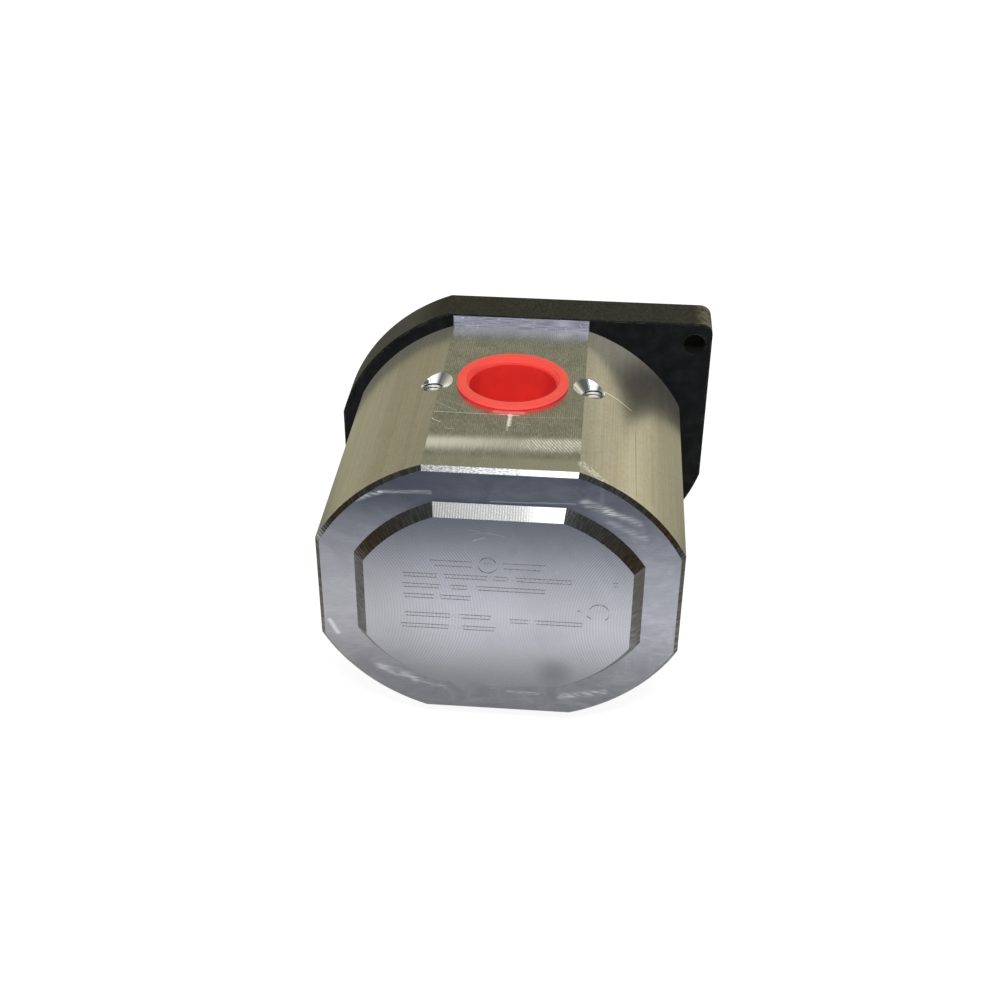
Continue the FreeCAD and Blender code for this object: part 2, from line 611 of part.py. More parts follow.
# ---------------------------------------------------------------------------------------------------------------
# mounting flange: black cast iron, with a square ear at two opposite corners
# ---------------------------------------------------------------------------------------------------------------
def flange_outline(sketch):
    """Square corners at upper +X and lower -X, large arcs at the other two."""
    meet_x, meet_z = arc_ends("flange_half_width", "flange_half_height", "flange_arc_radius",
                              "flange_arc_across", "flange_arc_down")
    high, shift = value("flange_half_height"), value("flange_shift")
    plus_x = shift + value("flange_half_width")
    minus_x = shift - value("flange_half_width")
    top = flat(sketch, (shift - meet_x, high), (plus_x, high), "flange_half_height", "y")
    right = flat(sketch, (plus_x, high), (plus_x, -meet_z), "flange_shift+flange_half_width", "x")
    bottom = flat(sketch, (shift + meet_x, -high), (minus_x, -high), "-flange_half_height", "y")
    left = flat(sketch, (minus_x, -high), (minus_x, meet_z), "flange_shift-flange_half_width", "x")
    lower_right = arc_between(sketch, "flange_shift+flange_arc_across", "flange_arc_down",
                              "flange_arc_radius", (shift + meet_x, -high), (plus_x, -meet_z))
    upper_left = arc_between(sketch, "flange_shift-flange_arc_across", "-flange_arc_down",
                             "flange_arc_radius", (shift - meet_x, high), (minus_x, meet_z))
    join(sketch, (top, 2, right, 1), (right, 2, lower_right, 2), (lower_right, 1, bottom, 1),
         (bottom, 2, left, 1), (left, 2, upper_left, 2), (upper_left, 1, top, 1))


def is_ear_corner(edge):
    box = edge.BoundBox
    return (abs(box.XLength) < 1e-6 and abs(box.ZLength) < 1e-6
            and abs(abs(box.XMin - value("flange_shift")) - value("flange_half_width")) < 1e-4
            and abs(abs(box.ZMin) - value("flange_half_height")) < 1e-4)


def build_mounting_flange():
    flange = new_body("mounting_flange", x=HALF)
    sketch = new_sketch(flange, "flange_outline", 0)
    flange_outline(sketch)
    pad(flange, "flange_plate", sketch, FLANGE)
    dress(flange, "Fillet", "ear_corners", is_ear_corner, "Radius", "flange_corner_radius")
    rear, pilot_face = -value(FLANGE), value("pilot_height")
    dress(flange, "Chamfer", "flange_edges", lambda edge: lies_at(edge, rear) or lies_at(edge, 0),
          "Size", "flange_edge")

    def cut_on_shaft_axis(name, sketch_name, offset, radius, length):
        cut(flange, name, circles(flange, sketch_name, offset, ("-" + HALF, 0, radius)), length)

    pilot = circles(flange, "pilot_circle", 0, ("-" + HALF, 0, "pilot_radius"))
    pad(flange, "pilot", pilot, "pilot_height", forward=False)
    dress(flange, "Chamfer", "pilot_edge_break", lambda edge: lies_at(edge, pilot_face), "Size", "pilot_edge")
    cut_on_shaft_axis("shaft_hole", "shaft_hole_circle", "-pilot_height-overcut", "shaft_hole_radius",
                      "pilot_height+flange_thickness+2*overcut")
    cut_on_shaft_axis("seal_bore", "seal_bore_circle", "-pilot_height", "seal_bore_radius", "seal_bore_depth")
    cut_on_shaft_axis("clip_groove", "clip_groove_circle", "-clip_groove_front", "clip_groove_radius",
                      "clip_groove_width")

    through = "flange_thickness+2*overcut"
    holes = [(x, z, "screw_hole_radius") for x, z in SCREWS]
    cut(flange, "screw_holes", circles(flange, "screw_hole_circles", "-overcut", *holes), through)
    bores = [(x, z, "screw_bore_radius") for x, z in SCREWS]
    cut(flange, "screw_counterbores", circles(flange, "screw_bore_circles", "-overcut", *bores),
        "screw_bore_depth+overcut")
    mounts = [("flange_shift+mount_hole_across", "mount_hole_up", "mount_hole_radius"),
              ("flange_shift-mount_hole_across", "-mount_hole_up", "mount_hole_radius")]
    cut(flange, "mounting_holes", circles(flange, "mount_hole_circles", "-overcut", *mounts), through)
    cut(flange, "flange_dowel_holes", circles(flange, "flange_dowel_circles", FLANGE, *DOWEL_HOLES),
        "dowel_hole_depth", forward=False)


# ---------------------------------------------------------------------------------------------------------------
# flange screws, their washers, and the two dowels
# ---------------------------------------------------------------------------------------------------------------
SOCKET_TURN = 7      # degrees by which each socket is turned from the one before


def flange_screw(number, x, z):
    screw = new_body("flange_screw_%d" % number, x=x, z=z)
    seat = f"-({SCREW_SEAT})"
    crown = f"{seat}+screw_head_height"
    tip = f"{seat}-screw_length"
    points = [(0, crown), ("screw_head_radius-screw_head_edge", crown),
              ("screw_head_radius", f"{crown}-screw_head_edge"), ("screw_head_radius", seat),
              ("screw_radius", seat), ("screw_radius", f"{tip}+screw_tip_edge"),
              ("screw_radius-screw_tip_edge", tip), (0, tip)]
    revolve(screw, "turned_s%d" % number, outline(screw, "profile_s%d" % number, points, role="XY_Plane"))
    sketch = new_sketch(screw, "socket_s%d" % number, f"{SCREW_SEAT}-screw_head_height")
    hexagon(sketch, "screw_socket_half", SOCKET_TURN * number)
    cut(screw, "hex_socket_s%d" % number, sketch, "screw_socket_depth")
    return screw


def screw_washer(number, x, z):
    washer = new_body("screw_washer_%d" % number, x=x, z=z)
    tube(washer, "washer_circles_%d" % number, "washer_disc_%d" % number, SCREW_SEAT, "washer_outer",
         "washer_inner", "washer_thickness")
    return washer


def dowel(number, x):
    rod = doc.addObject("Part::Cylinder", "dowel_%d" % number)
    rod.setExpression("Radius", "Dims.dowel_radius")
    rod.setExpression("Height", "Dims.dowel_length")
    lay_along_y(rod, "-flange_thickness-dowel_length*0.5", -90, x=f"{HALF}+({x})")
    return rod


def build_fasteners():
    screws, washers = [], []
    for number, (x, z) in enumerate(SCREWS, start=1):
        place = f"{HALF}+({x})"
        screws.append(flange_screw(number, place, z))
        washers.append(screw_washer(number, place, z))
    compound("flange_screws", screws)
    compound("flange_screw_washers", washers)
    compound("dowel_pins", [dowel(number, x) for number, x in enumerate(DOWELS, start=1)])


# ---------------------------------------------------------------------------------------------------------------
# joint ring, bearing blocks, pressure seals and bushes
# ---------------------------------------------------------------------------------------------------------------
def both_axes(radius):
    """A circle of this radius about each gear's axis."""
    return [(HALF, 0, radius), ("-" + HALF, 0, radius)]


def build_joint_ring():
    ring = new_body("joint_seal_ring", x=HALF)
    sketch = new_sketch(ring, "ring_outline", "flange_thickness+ring_gap")
    eight(sketch, HALF, "ring_outer")
    eight(sketch, HALF, "ring_inner")
    pad(ring, "ring_band", sketch, "ring_thickness")


def seal_sketch(body, name, offset, outer, inner):
    """A figure of eight round two full circles."""
    sketch = new_sketch(body, name, offset)
    eight(sketch, HALF, outer)
    for place in both_axes(inner):
        circle(sketch, *place)
    return sketch


def bearing_block(label, start, is_front):
    """Floating block with two bush bores, relief pockets towards the gears and a seal groove on its outer face."""
    block = new_body(label, x=HALF)
    tag = label[:5]
    sketch = new_sketch(block, tag + "_block_outline", start)
    eight(sketch, HALF, "block_radius")
    pad(block, tag + "_block", sketch, "block_length")
    bores = circles(block, tag + "_bush_bores_outline", start, *both_axes("bush_bore_radius"))
    cut(block, tag + "_bush_bores", bores, "block_length")

    end = start + "+block_length"
    outer, inner = (start, end) if is_front else (end, start)
    sketch = seal_sketch(block, tag + "_groove_outline", outer, "seal_groove_outer", "seal_groove_inner")
    cut(block, tag + "_seal_groove", sketch, "seal_groove_depth", forward=is_front)
    sketch = new_sketch(block, tag + "_relief_outline", inner)
    side = "relief_width*0.5"
    for sign in ("", "-"):
        near, far = sign + "relief_near", sign + "relief_far"
        polygon(sketch, [("-" + side, near), (side, near), (side, far), ("-" + side, far)])
    cut(block, tag + "_relief_pockets", sketch, "relief_depth", forward=not is_front)


def pressure_seal(label, start, thickness):
    seal = new_body(label, x=HALF)
    sketch = seal_sketch(seal, label + "_outline", start, "seal_outer", "seal_inner")
    pad(seal, label + "_band", sketch, thickness)


def build_bearings():
    bearing_block("front_bearing_block", FRONT_BLOCK, is_front=True)
    bearing_block("rear_bearing_block", REAR_BLOCK, is_front=False)
    pressure_seal("front_backup_ring", FRONT_BLOCK + "+backup_gap", "backup_thickness")
    pressure_seal("front_pressure_seal", FRONT_BLOCK + "+backup_gap+backup_thickness+seal_gap",
                  "seal_thickness")
    pressure_seal("rear_backup_ring", REAR_BLOCK_END + "-backup_gap-backup_thickness", "backup_thickness")
    pressure_seal("rear_pressure_seal",
                  REAR_BLOCK_END + "-backup_gap-backup_thickness-seal_gap-seal_thickness", "seal_thickness")
    # each bush sits midway along its block
    for end, start in (("front", FRONT_BLOCK), ("rear", REAR_BLOCK)):
        for gear, x in (("drive", None), ("driven", DRIVEN_X)):
            label = f"{end}_{gear}_bush"
            tube(new_body(label, x=x), label + "_circles", label + "_tube",
                 start + "+(block_length-bush_length)*0.5", "bush_outer_radius", "bush_inner_radius",
                 "bush_length")


# ---------------------------------------------------------------------------------------------------------------
# gears: 12 teeth, module 4.5, profile shifted, at extended centres
# ---------------------------------------------------------------------------------------------------------------
PRESSURE_ANGLE = math.radians(20)
RACK_DEDENDUM = 1.25      # in modules
RACK_ROUNDING = 0.30      # tip radius of the generating rack, in modules
FILLET_STEPS = 8
FLANK_STEPS = 10


def involute(angle):
    return math.tan(angle) - angle


def spline(points):
    result = Part.BSplineCurve()
    result.interpolate(points)
    return result.toShape()


def gear_face(phase):
    """Rack-generated involute outline; phase is the angle of one tooth's centre line."""
    teeth, module, shift, tip_radius, thinning = (
        value("gear_" + name) for name in ("teeth", "modulus", "shift", "tip_radius", "thinning"))
    slope = math.tan(PRESSURE_ANGLE)
    pitch_radius = teeth * module / 2
    base_radius = pitch_radius * math.cos(PRESSURE_ANGLE)
    root_radius = pitch_radius - (RACK_DEDENDUM - shift) * module
    half_tooth = (module * (math.pi / 2 + 2 * shift * slope) - thinning) / 2 / pitch_radius

    # centre of the rack's tip rounding: along the rack from its tooth's middle, and below the pitch line
    rounding = RACK_ROUNDING * module
    unshifted = RACK_DEDENDUM * module - rounding
    along = math.pi * module / 4 - unshifted * slope - rounding / math.cos(PRESSURE_ANGLE) + thinning / 2
    below = unshifted - shift * module
    roll_start = -along / pitch_radius
    roll_end = (below / slope - along) / pitch_radius

    # fillet and flank points: radius, and angle from the middle of the space
    fillet = []
    for i in range(FILLET_STEPS + 1):
        roll = roll_start + (roll_end - roll_start) * i / FILLET_STEPS
        centre_x, centre_y = along + pitch_radius * roll, -below
        length = math.hypot(centre_x, centre_y)
        rack_x = centre_x + rounding * centre_x / length
        rack_y = pitch_radius + centre_y + rounding * centre_y / length
        gear_x = rack_x * math.cos(roll) - rack_y * math.sin(roll)
        gear_y = rack_x * math.sin(roll) + rack_y * math.cos(roll)
        fillet.append((math.hypot(gear_x, gear_y), math.atan2(gear_x, gear_y)))
    start = fillet[-1][0]
    flank = []
    for i in range(FLANK_STEPS + 1):
        radius = start + (tip_radius - start) * i / FLANK_STEPS
        local_angle = math.acos(min(1.0, base_radius / radius))
        half_here = half_tooth + involute(PRESSURE_ANGLE) - involute(local_angle)
        flank.append((radius, math.pi / teeth - half_here))

    def at(radius, angle):
        return Vector(radius * math.cos(angle), 0, radius * math.sin(angle))

    edges = []
    step = 2 * math.pi / teeth
    for k in range(int(teeth)):
        space = phase + step / 2 + k * step
        next_space = space + step
        fillet_after = [at(radius, space + angle) for radius, angle in fillet]
        flank_after = [fillet_after[-1]] + [at(radius, space + angle) for radius, angle in flank[1:]]
        fillet_before = [at(radius, space - angle) for radius, angle in fillet]
        flank_before = [fillet_before[-1]] + [at(radius, space - angle) for radius, angle in flank[1:]]
        tip_end = at(tip_radius, next_space - flank[-1][1])
        edges.append(Part.Arc(fillet_before[0], at(root_radius, space), fillet_after[0]).toShape())
        edges.append(spline(fillet_after))
        edges.append(spline(flank_after))
        edges.append(Part.Arc(flank_after[-1], at(tip_radius, (space + next_space) / 2), tip_end).toShape())
        edges.append(spline(flank_before))
        edges.append(spline(fillet_before))
    return Part.Face(Part.Wire(Part.__sortEdges__(edges)))


def gear_solid(name, phase, x):
    prism = gear_face(phase).extrude(Vector(0, -value("gear_width"), 0))
    if prism.Volume < 0:
        prism.reverse()
    gear = doc.addObject("Part::Feature", name)
    gear.Shape = prism
    gear.Placement = FreeCAD.Placement(Vector(x, -value("gear_depth"), 0), FreeCAD.Rotation())
    return gear


def fuse(label, base, tool):
    result = doc.addObject("Part::Fuse", label)
    result.Label = label
    result.Base = base
    result.Tool = tool


def build_drive_gear():
    """The teeth and a shaft with a tapered end, a threaded stud and a seat for the key."""
    shaft = new_body("drive_shaft_turning")
    points = [(0, "stud_end"), ("stud_radius-stud_edge", "stud_end"), ("stud_radius", "stud_end-stud_edge"),
              ("stud_radius", "taper_end"), ("taper_small", "taper_end"), ("taper_large", "taper_start"),
              ("journal_radius-journal_edge", "taper_start"), ("journal_radius", "taper_start-journal_edge"),
              ("journal_radius", SHAFT_REAR + "+shaft_end_edge"),
              ("journal_radius-shaft_end_edge", SHAFT_REAR), (0, SHAFT_REAR)]
    revolve(shaft, "shaft_turned", outline(shaft, "shaft_profile", points, role="XY_Plane"))
    points = thread_points("stud_radius+stud_thread_overlap", "stud_radius-stud_thread_depth",
                           "stud_end-stud_thread_start", "stud_pitch", "stud_thread_flare")
    turn = groove(shaft, "stud_thread_turn", outline(shaft, "stud_thread_profile", points, role="XY_Plane"))
    pattern(shaft, "stud_thread", turn, "Y_Axis", "stud_pitch", "stud_turns", reverse=True)
    seat = circles(shaft, "key_seat_circle", "-key_width*0.5-key_clearance*0.5",
                   ("key_centre", "key_rise", "key_radius+key_clearance"), role="YZ_Plane")
    cut(shaft, "key_seat", seat, "key_width+key_clearance")
    fuse("drive_gear_shaft", shaft, gear_solid("drive_gear_teeth", 0.0, 0))


def build_key():
    """A disc whose top is cut parallel to the shaft's taper."""
    key = new_body("shaft_key")
    disc = circles(key, "key_circle", "-key_width*0.5", ("key_centre", "key_rise", "key_radius"),
                   role="YZ_Plane")
    pad(key, "key_disc", disc, "key_width")
    rise = "(taper_large-taper_small)/(taper_end-taper_start)*key_top_reach"
    inner, outer = "key_centre-key_top_reach", "key_centre+key_top_reach"
    points = [(inner, "key_top_height+" + rise), (outer, "key_top_height-" + rise), (outer, "key_cut_top"),
              (inner, "key_cut_top")]
    top = outline(key, "key_top", points, "-key_width*0.5-overcut", role="YZ_Plane")
    cut(key, "key_top_cut", top, "key_width+2*overcut")


def build_driven_gear():
    """The teeth on a plain shaft, with an oil way bored through both."""
    shaft = new_body("driven_shaft_turning", x=DRIVEN_X)
    front = "-(flange_thickness+shaft_end_gap)"
    points = [(0, front), ("journal_radius-shaft_end_edge", front),
              ("journal_radius", front + "-shaft_end_edge"),
              ("journal_radius", SHAFT_REAR + "+shaft_end_edge"),
              ("journal_radius-shaft_end_edge", SHAFT_REAR), (0, SHAFT_REAR)]
    revolve(shaft, "driven_turned", outline(shaft, "driven_profile", points, role="XY_Plane"))
    oil_way = circles(shaft, "driven_core_circle", FLANGE, (0, 0, "oil_way_radius"))
    cut(shaft, "driven_oil_way", oil_way, "chamber_depth")

    teeth = gear_solid("driven_gear_teeth", math.pi / value("gear_teeth"), value(DRIVEN_X))
    core = doc.addObject("Part::Cylinder", "driven_core")
    bind(core, "Radius", "oil_way_radius")
    bind(core, "Height", "gear_width+2*overcut")
    lay_along_y(core, "-gear_depth+overcut", 90, x=DRIVEN_X)
    bored = doc.addObject("Part::Cut", "driven_teeth_bored")
    bored.Base = teeth
    bored.Tool = core
    fuse("driven_gear", shaft, bored)


# ---------------------------------------------------------------------------------------------------------------
# shaft end: washer and hexagon nut on the threaded stud
# ---------------------------------------------------------------------------------------------------------------
def build_shaft_end():
    tube(new_body("shaft_washer"), "shaft_washer_circles", "shaft_washer_disc",
         "-taper_end-shaft_washer_thickness", "shaft_washer_outer", "shaft_washer_inner",
         "shaft_washer_thickness")

    nut = new_body("shaft_nut")
    sketch = new_sketch(nut, "nut_hexagon", "-taper_end-shaft_washer_thickness-nut_height")
    hexagon(sketch, "nut_half_flats")
    circle(sketch, 0, 0, "nut_bore")
    pad(nut, "nut_block", sketch, "nut_height")
    face = "taper_end+shaft_washer_thickness+nut_height"
    reach = "nut_half_flats+nut_crown_reach"
    points = [("nut_half_flats-nut_crown_inset", face + "+nut_crown_lift"), (reach, face + "+nut_crown_lift"),
              (reach, face + "-nut_crown_drop")]
    groove(nut, "nut_crown", outline(nut, "nut_crown_profile", points, role="XY_Plane"))


# ---------------------------------------------------------------------------------------------------------------
# shaft seals in the flange's bore, with spacer and retaining ring
# ---------------------------------------------------------------------------------------------------------------
def lip_seal(label, back):
    """Lip seal with its web at the front and its lip pointing into the pump.  back: depth of its rear face."""
    seal = new_body(label)
    rear = f"-({back})"
    front = f"{rear}+lip_seal_width"
    outer, lip = "lip_seal_outer", "lip_seal_lip"
    points = [
        # outer band with broken edges
        (outer + "-0.5", front), (outer, front + "-0.5"), (outer, rear + "+0.5"), (outer + "-0.5", rear),
        # inside of the band, then back along the web
        (outer + "-3", rear), (outer + "-3", front + "-2"), (lip + "+4.2", front + "-2"),
        # outer side of the lip, with the notch for the garter spring
        (lip + "+2.2", front + "-3.4"), (lip + "+1.3", front + "-4.0"), (lip + "+1.3", front + "-5.5"),
        (lip + "+1.9", front + "-5.9"), (lip + "+0.9", front + "-6.2"),
        # the sealing edge, then the shaft side up to the front face
        (lip, front + "-4.9"), (lip + "+0.5", front + "-3.2"), (lip + "+1.6", front + "-1.4"),
        (lip + "+0.4", front),
    ]
    revolve(seal, label + "_ring", outline(seal, label + "_profile", points, role="XY_Plane"))


def garter_spring(number, back):
    spring = doc.addObject("Part::Torus", "garter_%d" % number)
    spring.setExpression("Radius1", "Dims.garter_radius")
    spring.setExpression("Radius2", "Dims.garter_wire")
    lay_along_y(spring, f"-({back})+lip_seal_width-garter_setback", 90)
    return spring


def build_shaft_seals():
    lip_seal("inner_shaft_seal", INNER_SEAL_BACK + "-lip_seal_gap")
    lip_seal("outer_shaft_seal", OUTER_SEAL_BACK + "-lip_seal_gap")
    compound("seal_garter_springs", [garter_spring(1, INNER_SEAL_BACK), garter_spring(2, OUTER_SEAL_BACK)])
    tube(new_body("seal_spacer"), "spacer_circles", "spacer_disc", OUTER_SEAL_BACK, "lip_seal_outer",
         "spacer_inner", "spacer_width-spacer_gap")


def build_retaining_ring():
    """An internal ring, open at the top between two lugs with eyes."""
    clip = new_body("seal_retaining_ring")
    start, thickness = "-clip_groove_front+clip_play", "clip_thickness"
    tube(clip, "clip_circles", "clip_band", start, "clip_outer", "clip_inner", thickness)
    for hand, sign, sketch_name in (("right", "", "clip_lug_circles"), ("left", "-", "clip_lug_circles_left")):
        lug = circles(clip, sketch_name, start,
                      (sign + "clip_lug_across", "clip_inner-clip_lug_inset", "clip_lug_radius"))
        pad(clip, "clip_lug_" + hand, lug, thickness)
    points = [("-clip_gap_half", "clip_gap_low"), ("clip_gap_half", "clip_gap_low"),
              ("clip_gap_half", "clip_gap_high"), ("-clip_gap_half", "clip_gap_high")]
    cut(clip, "clip_gap", outline(clip, "clip_gap_outline", points, start), thickness)
    eyes = [(sign + "clip_lug_across", "clip_inner-clip_eye_inset", "clip_eye_radius") for sign in ("", "-")]
    cut(clip, "clip_eyes", circles(clip, "clip_eye_circles", start, *eyes), thickness)


# ---------------------------------------------------------------------------------------------------------------
# push-in plastic port plugs: a tapered cup under a thin flange
# ---------------------------------------------------------------------------------------------------------------
def port_plug(label, down, size):
    """size is the start of the plug's aliases; down turns it over for the bottom flat."""
    body = doc.addObject("PartDesign::Body", label)
    body.Label = label
    body.Placement = FreeCAD.Placement(Vector(0, 0, 0), FreeCAD.Rotation(Vector(1, 0, 0), 180 if down else 0))
    sign = "-" if down else ""
    body.setExpression("Placement.Base.x", bound(HALF))
    body.setExpression("Placement.Base.y", bound("-port_depth"))
    body.setExpression("Placement.Base.z", bound(f"{sign}(body_half_height+plug_seat_gap)"))

    rim, top, tip = (f"{size}_{part}_radius" for part in ("flange", "top", "tip"))
    bottom = f"-{size}_depth"
    face = "plug_flange_thickness"
    mouth = f"{top}-plug_wall"
    inner_tip = f"{tip}-plug_wall-plug_step"
    floor, centre_floor = bottom + "+plug_floor", bottom + "+plug_centre_floor"
    points = [
        # outside, from the closed bottom up the taper to a flared neck
        (0, bottom), (tip + "-plug_tip_edge", bottom), (tip, bottom + "+plug_tip_edge"), (top, "-1.2"),
        (top + "+0.3", 0),
        # flange with broken edges
        (rim + "-plug_edge", 0), (rim, "plug_edge"), (rim, face + "-plug_edge"), (rim + "-plug_edge", face),
        # inside, from a bevelled mouth down over a small step
        (mouth + "+0.75", face), (mouth + "+0.2", face + "-0.5"), (mouth + "+0.1", "-1.6"),
        (mouth + "-plug_step+0.1", "-2.1"),
        # bevel at the foot of the wall, then the floor and its raised centre
        (inner_tip + "+0.2", bottom + "+2.4"), (inner_tip + "-0.6", floor), ("plug_centre_foot", floor),
        ("plug_centre_radius", centre_floor), (0, centre_floor),
    ]
    revolve(body, label + "_cup", outline(body, label + "_profile", points))


# ---------------------------------------------------------------------------------------------------------------
# build, check, and write one STEP file for each piece
# ---------------------------------------------------------------------------------------------------------------
build_pump_body()
build_mounting_flange()
build_fasteners()
build_joint_ring()
build_bearings()
build_drive_gear()
build_key()
build_driven_gear()
build_shaft_end()
build_shaft_seals()
build_retaining_ring()
port_plug("suction_port_plug", False, "plug")
port_plug("pressure_port_plug", True, "small_plug")

doc.recompute()
bad = [obj.Name for obj in doc.Objects if any(word in ("Invalid", "Error") for word in obj.State)]
if bad:
    raise RuntimeError("objects failed: %s" % bad)

NODES = ["pump_body", "mounting_flange", "flange_screws", "flange_screw_washers", "dowel_pins", "joint_seal_ring",
         "front_bearing_block", "rear_bearing_block", "front_drive_bush", "front_driven_bush",
         "rear_drive_bush", "rear_driven_bush", "front_pressure_seal", "front_backup_ring",
         "rear_pressure_seal", "rear_backup_ring", "inner_shaft_seal", "outer_shaft_seal",
         "seal_garter_springs", "seal_spacer", "seal_retaining_ring", "drive_gear_shaft", "shaft_key",
         "shaft_washer", "shaft_nut", "driven_gear", "suction_port_plug", "pressure_port_plug"]
os.makedirs("parts", exist_ok=True)
for label in NODES:
    shape = doc.getObjectsByLabel(label)[0].Shape
    if shape.isNull() or not shape.isValid():
        raise RuntimeError("%s has no valid shape" % label)
    if not shape.Solids or any(solid.Volume <= 0 for solid in shape.Solids):
        raise RuntimeError("%s is not solid" % label)
    shape.exportStep("parts/%s.step" % label)
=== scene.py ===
# Looks of a hydraulic gear pump: materials, moulded port caps, light and camera around the CAD model.
# The drive shaft runs along Y at x = 0, with the driven gear beside it on the +X side. The flange
# lies between y = 0 and y = -0.0235; the body goes on to its rear face near y = -0.1605, whose raised
# plateau is at y = -0.1661. The suction port opens upwards, the pressure port downwards. The camera
# looks from -Y and above, so +X is on its right. Units are metres.
import bmesh
import bpy
import math
import operator
from functools import reduce
from types import SimpleNamespace
from mathutils import Vector, Matrix

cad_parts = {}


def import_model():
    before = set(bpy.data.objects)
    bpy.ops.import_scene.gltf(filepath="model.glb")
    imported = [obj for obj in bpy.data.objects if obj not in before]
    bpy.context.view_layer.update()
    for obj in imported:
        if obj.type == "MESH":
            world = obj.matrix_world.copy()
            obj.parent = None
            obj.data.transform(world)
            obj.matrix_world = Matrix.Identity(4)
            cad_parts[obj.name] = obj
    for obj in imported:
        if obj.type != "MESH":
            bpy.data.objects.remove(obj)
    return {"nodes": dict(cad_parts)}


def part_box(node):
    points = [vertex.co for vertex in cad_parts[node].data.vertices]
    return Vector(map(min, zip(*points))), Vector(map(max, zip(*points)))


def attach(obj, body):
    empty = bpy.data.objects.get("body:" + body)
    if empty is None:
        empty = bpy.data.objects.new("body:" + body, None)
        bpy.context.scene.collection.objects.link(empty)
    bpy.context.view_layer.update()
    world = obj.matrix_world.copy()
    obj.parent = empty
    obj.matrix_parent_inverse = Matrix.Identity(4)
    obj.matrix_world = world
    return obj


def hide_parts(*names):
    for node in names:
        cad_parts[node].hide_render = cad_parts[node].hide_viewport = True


MM = 0.001
MIDDLE_X = 0.028855         # middle of the body, halfway between the gear axes
DRIVEN_X = 2 * MIDDLE_X     # axis of the driven gear
PORT_Y = -0.0821            # axis of both ports
FLOOR_Z = -0.0739


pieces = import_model()["nodes"]
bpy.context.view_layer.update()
scene = bpy.context.scene


# ------------------------------------------------------------------------------------------------
# shader maths
# ------------------------------------------------------------------------------------------------
def feed(tree, socket, value):
    """Link a number or socket to an input, or set a constant (colours get alpha 1)."""
    if isinstance(value, Number):
        tree.links.new(value.socket, socket)
    elif isinstance(value, bpy.types.NodeSocket):
        tree.links.new(value, socket)
    elif isinstance(value, tuple) and len(socket.default_value) == 4:
        socket.default_value = (*value, 1.0)
    else:
        socket.default_value = value


def add_node(tree, kind, inputs=None, **settings):
    node = tree.nodes.new("ShaderNode" + kind)
    for key, value in settings.items():
        setattr(node, key, value)
    for key, value in (inputs or {}).items():
        feed(tree, node.inputs[key], value)
    return node


def split(tree, vector):
    """The three components of a vector socket."""
    parts = add_node(tree, "SeparateXYZ", {0: vector})
    return [Number(tree, part) for part in parts.outputs]


def mix_color(tree, mask, below, above):
    node = add_node(tree, "Mix", data_type="RGBA", clamp_factor=True)
    for index, value in ((0, mask), (6, below), (7, above)):
        feed(tree, node.inputs[index], value)
    return node.outputs[2]


def mix_shader(tree, mask, below, above):
    return add_node(tree, "MixShader", {0: mask, 1: below, 2: above}).outputs[0]


def total(terms):
    return reduce(operator.add, terms)


class Number:
    """A number in a node tree, with arithmetic."""

    def __init__(self, tree, socket):
        self.tree, self.socket = tree, socket

    def op(self, operation, *others, clamp=False):
        inputs = dict(enumerate((self,) + others))
        node = add_node(self.tree, "Math", inputs, operation=operation, use_clamp=clamp)
        return Number(self.tree, node.outputs[0])

    def __add__(self, other): return self.op("ADD", other)
    def __radd__(self, other): return self.op("ADD", other)
    def __sub__(self, other): return self.op("SUBTRACT", other)
    def __mul__(self, other): return self.op("MULTIPLY", other)
    def __truediv__(self, other): return self.op("DIVIDE", other)
    def sin(self): return self.op("SINE")
    def abs(self): return self.op("ABSOLUTE")
    def sqrt(self): return self.op("MAXIMUM", 0.0).op("SQRT")
    def pow(self, exponent): return self.op("POWER", exponent)
    def clamp(self): return self.op("ADD", 0.0, clamp=True)
    def inv(self): return 1.0 - self

    def __rsub__(self, other):
        constant = add_node(self.tree, "Value").outputs[0]
        constant.default_value = other
        return Number(self.tree, constant).op("SUBTRACT", self)

    def wave(self, pitch, phase=None):
        """Sine that repeats every pitch."""
        angle = self * (2 * math.pi / pitch)
        return (angle if phase is None else angle + phase).sin()

    def remap(self, low, high, at_low, at_high, curve="LINEAR"):
        node = add_node(self.tree, "MapRange", {
            "Value": self, "From Min": low, "From Max": high,
            "To Min": at_low, "To Max": at_high}, interpolation_type=curve)
        return Number(self.tree, node.outputs["Result"])

    def step(self, off, on):
        """Smooth change from 0 at off to 1 at on, whichever is larger."""
        if off < on:
            return self.remap(off, on, 0.0, 1.0, "SMOOTHSTEP")
        return self.remap(on, off, 1.0, 0.0, "SMOOTHSTEP")

    def band(self, low, high, soft):
        """1 between low and high, fading out over soft on both sides."""
        return self.step(low - soft, low) * self.step(high + soft, high)


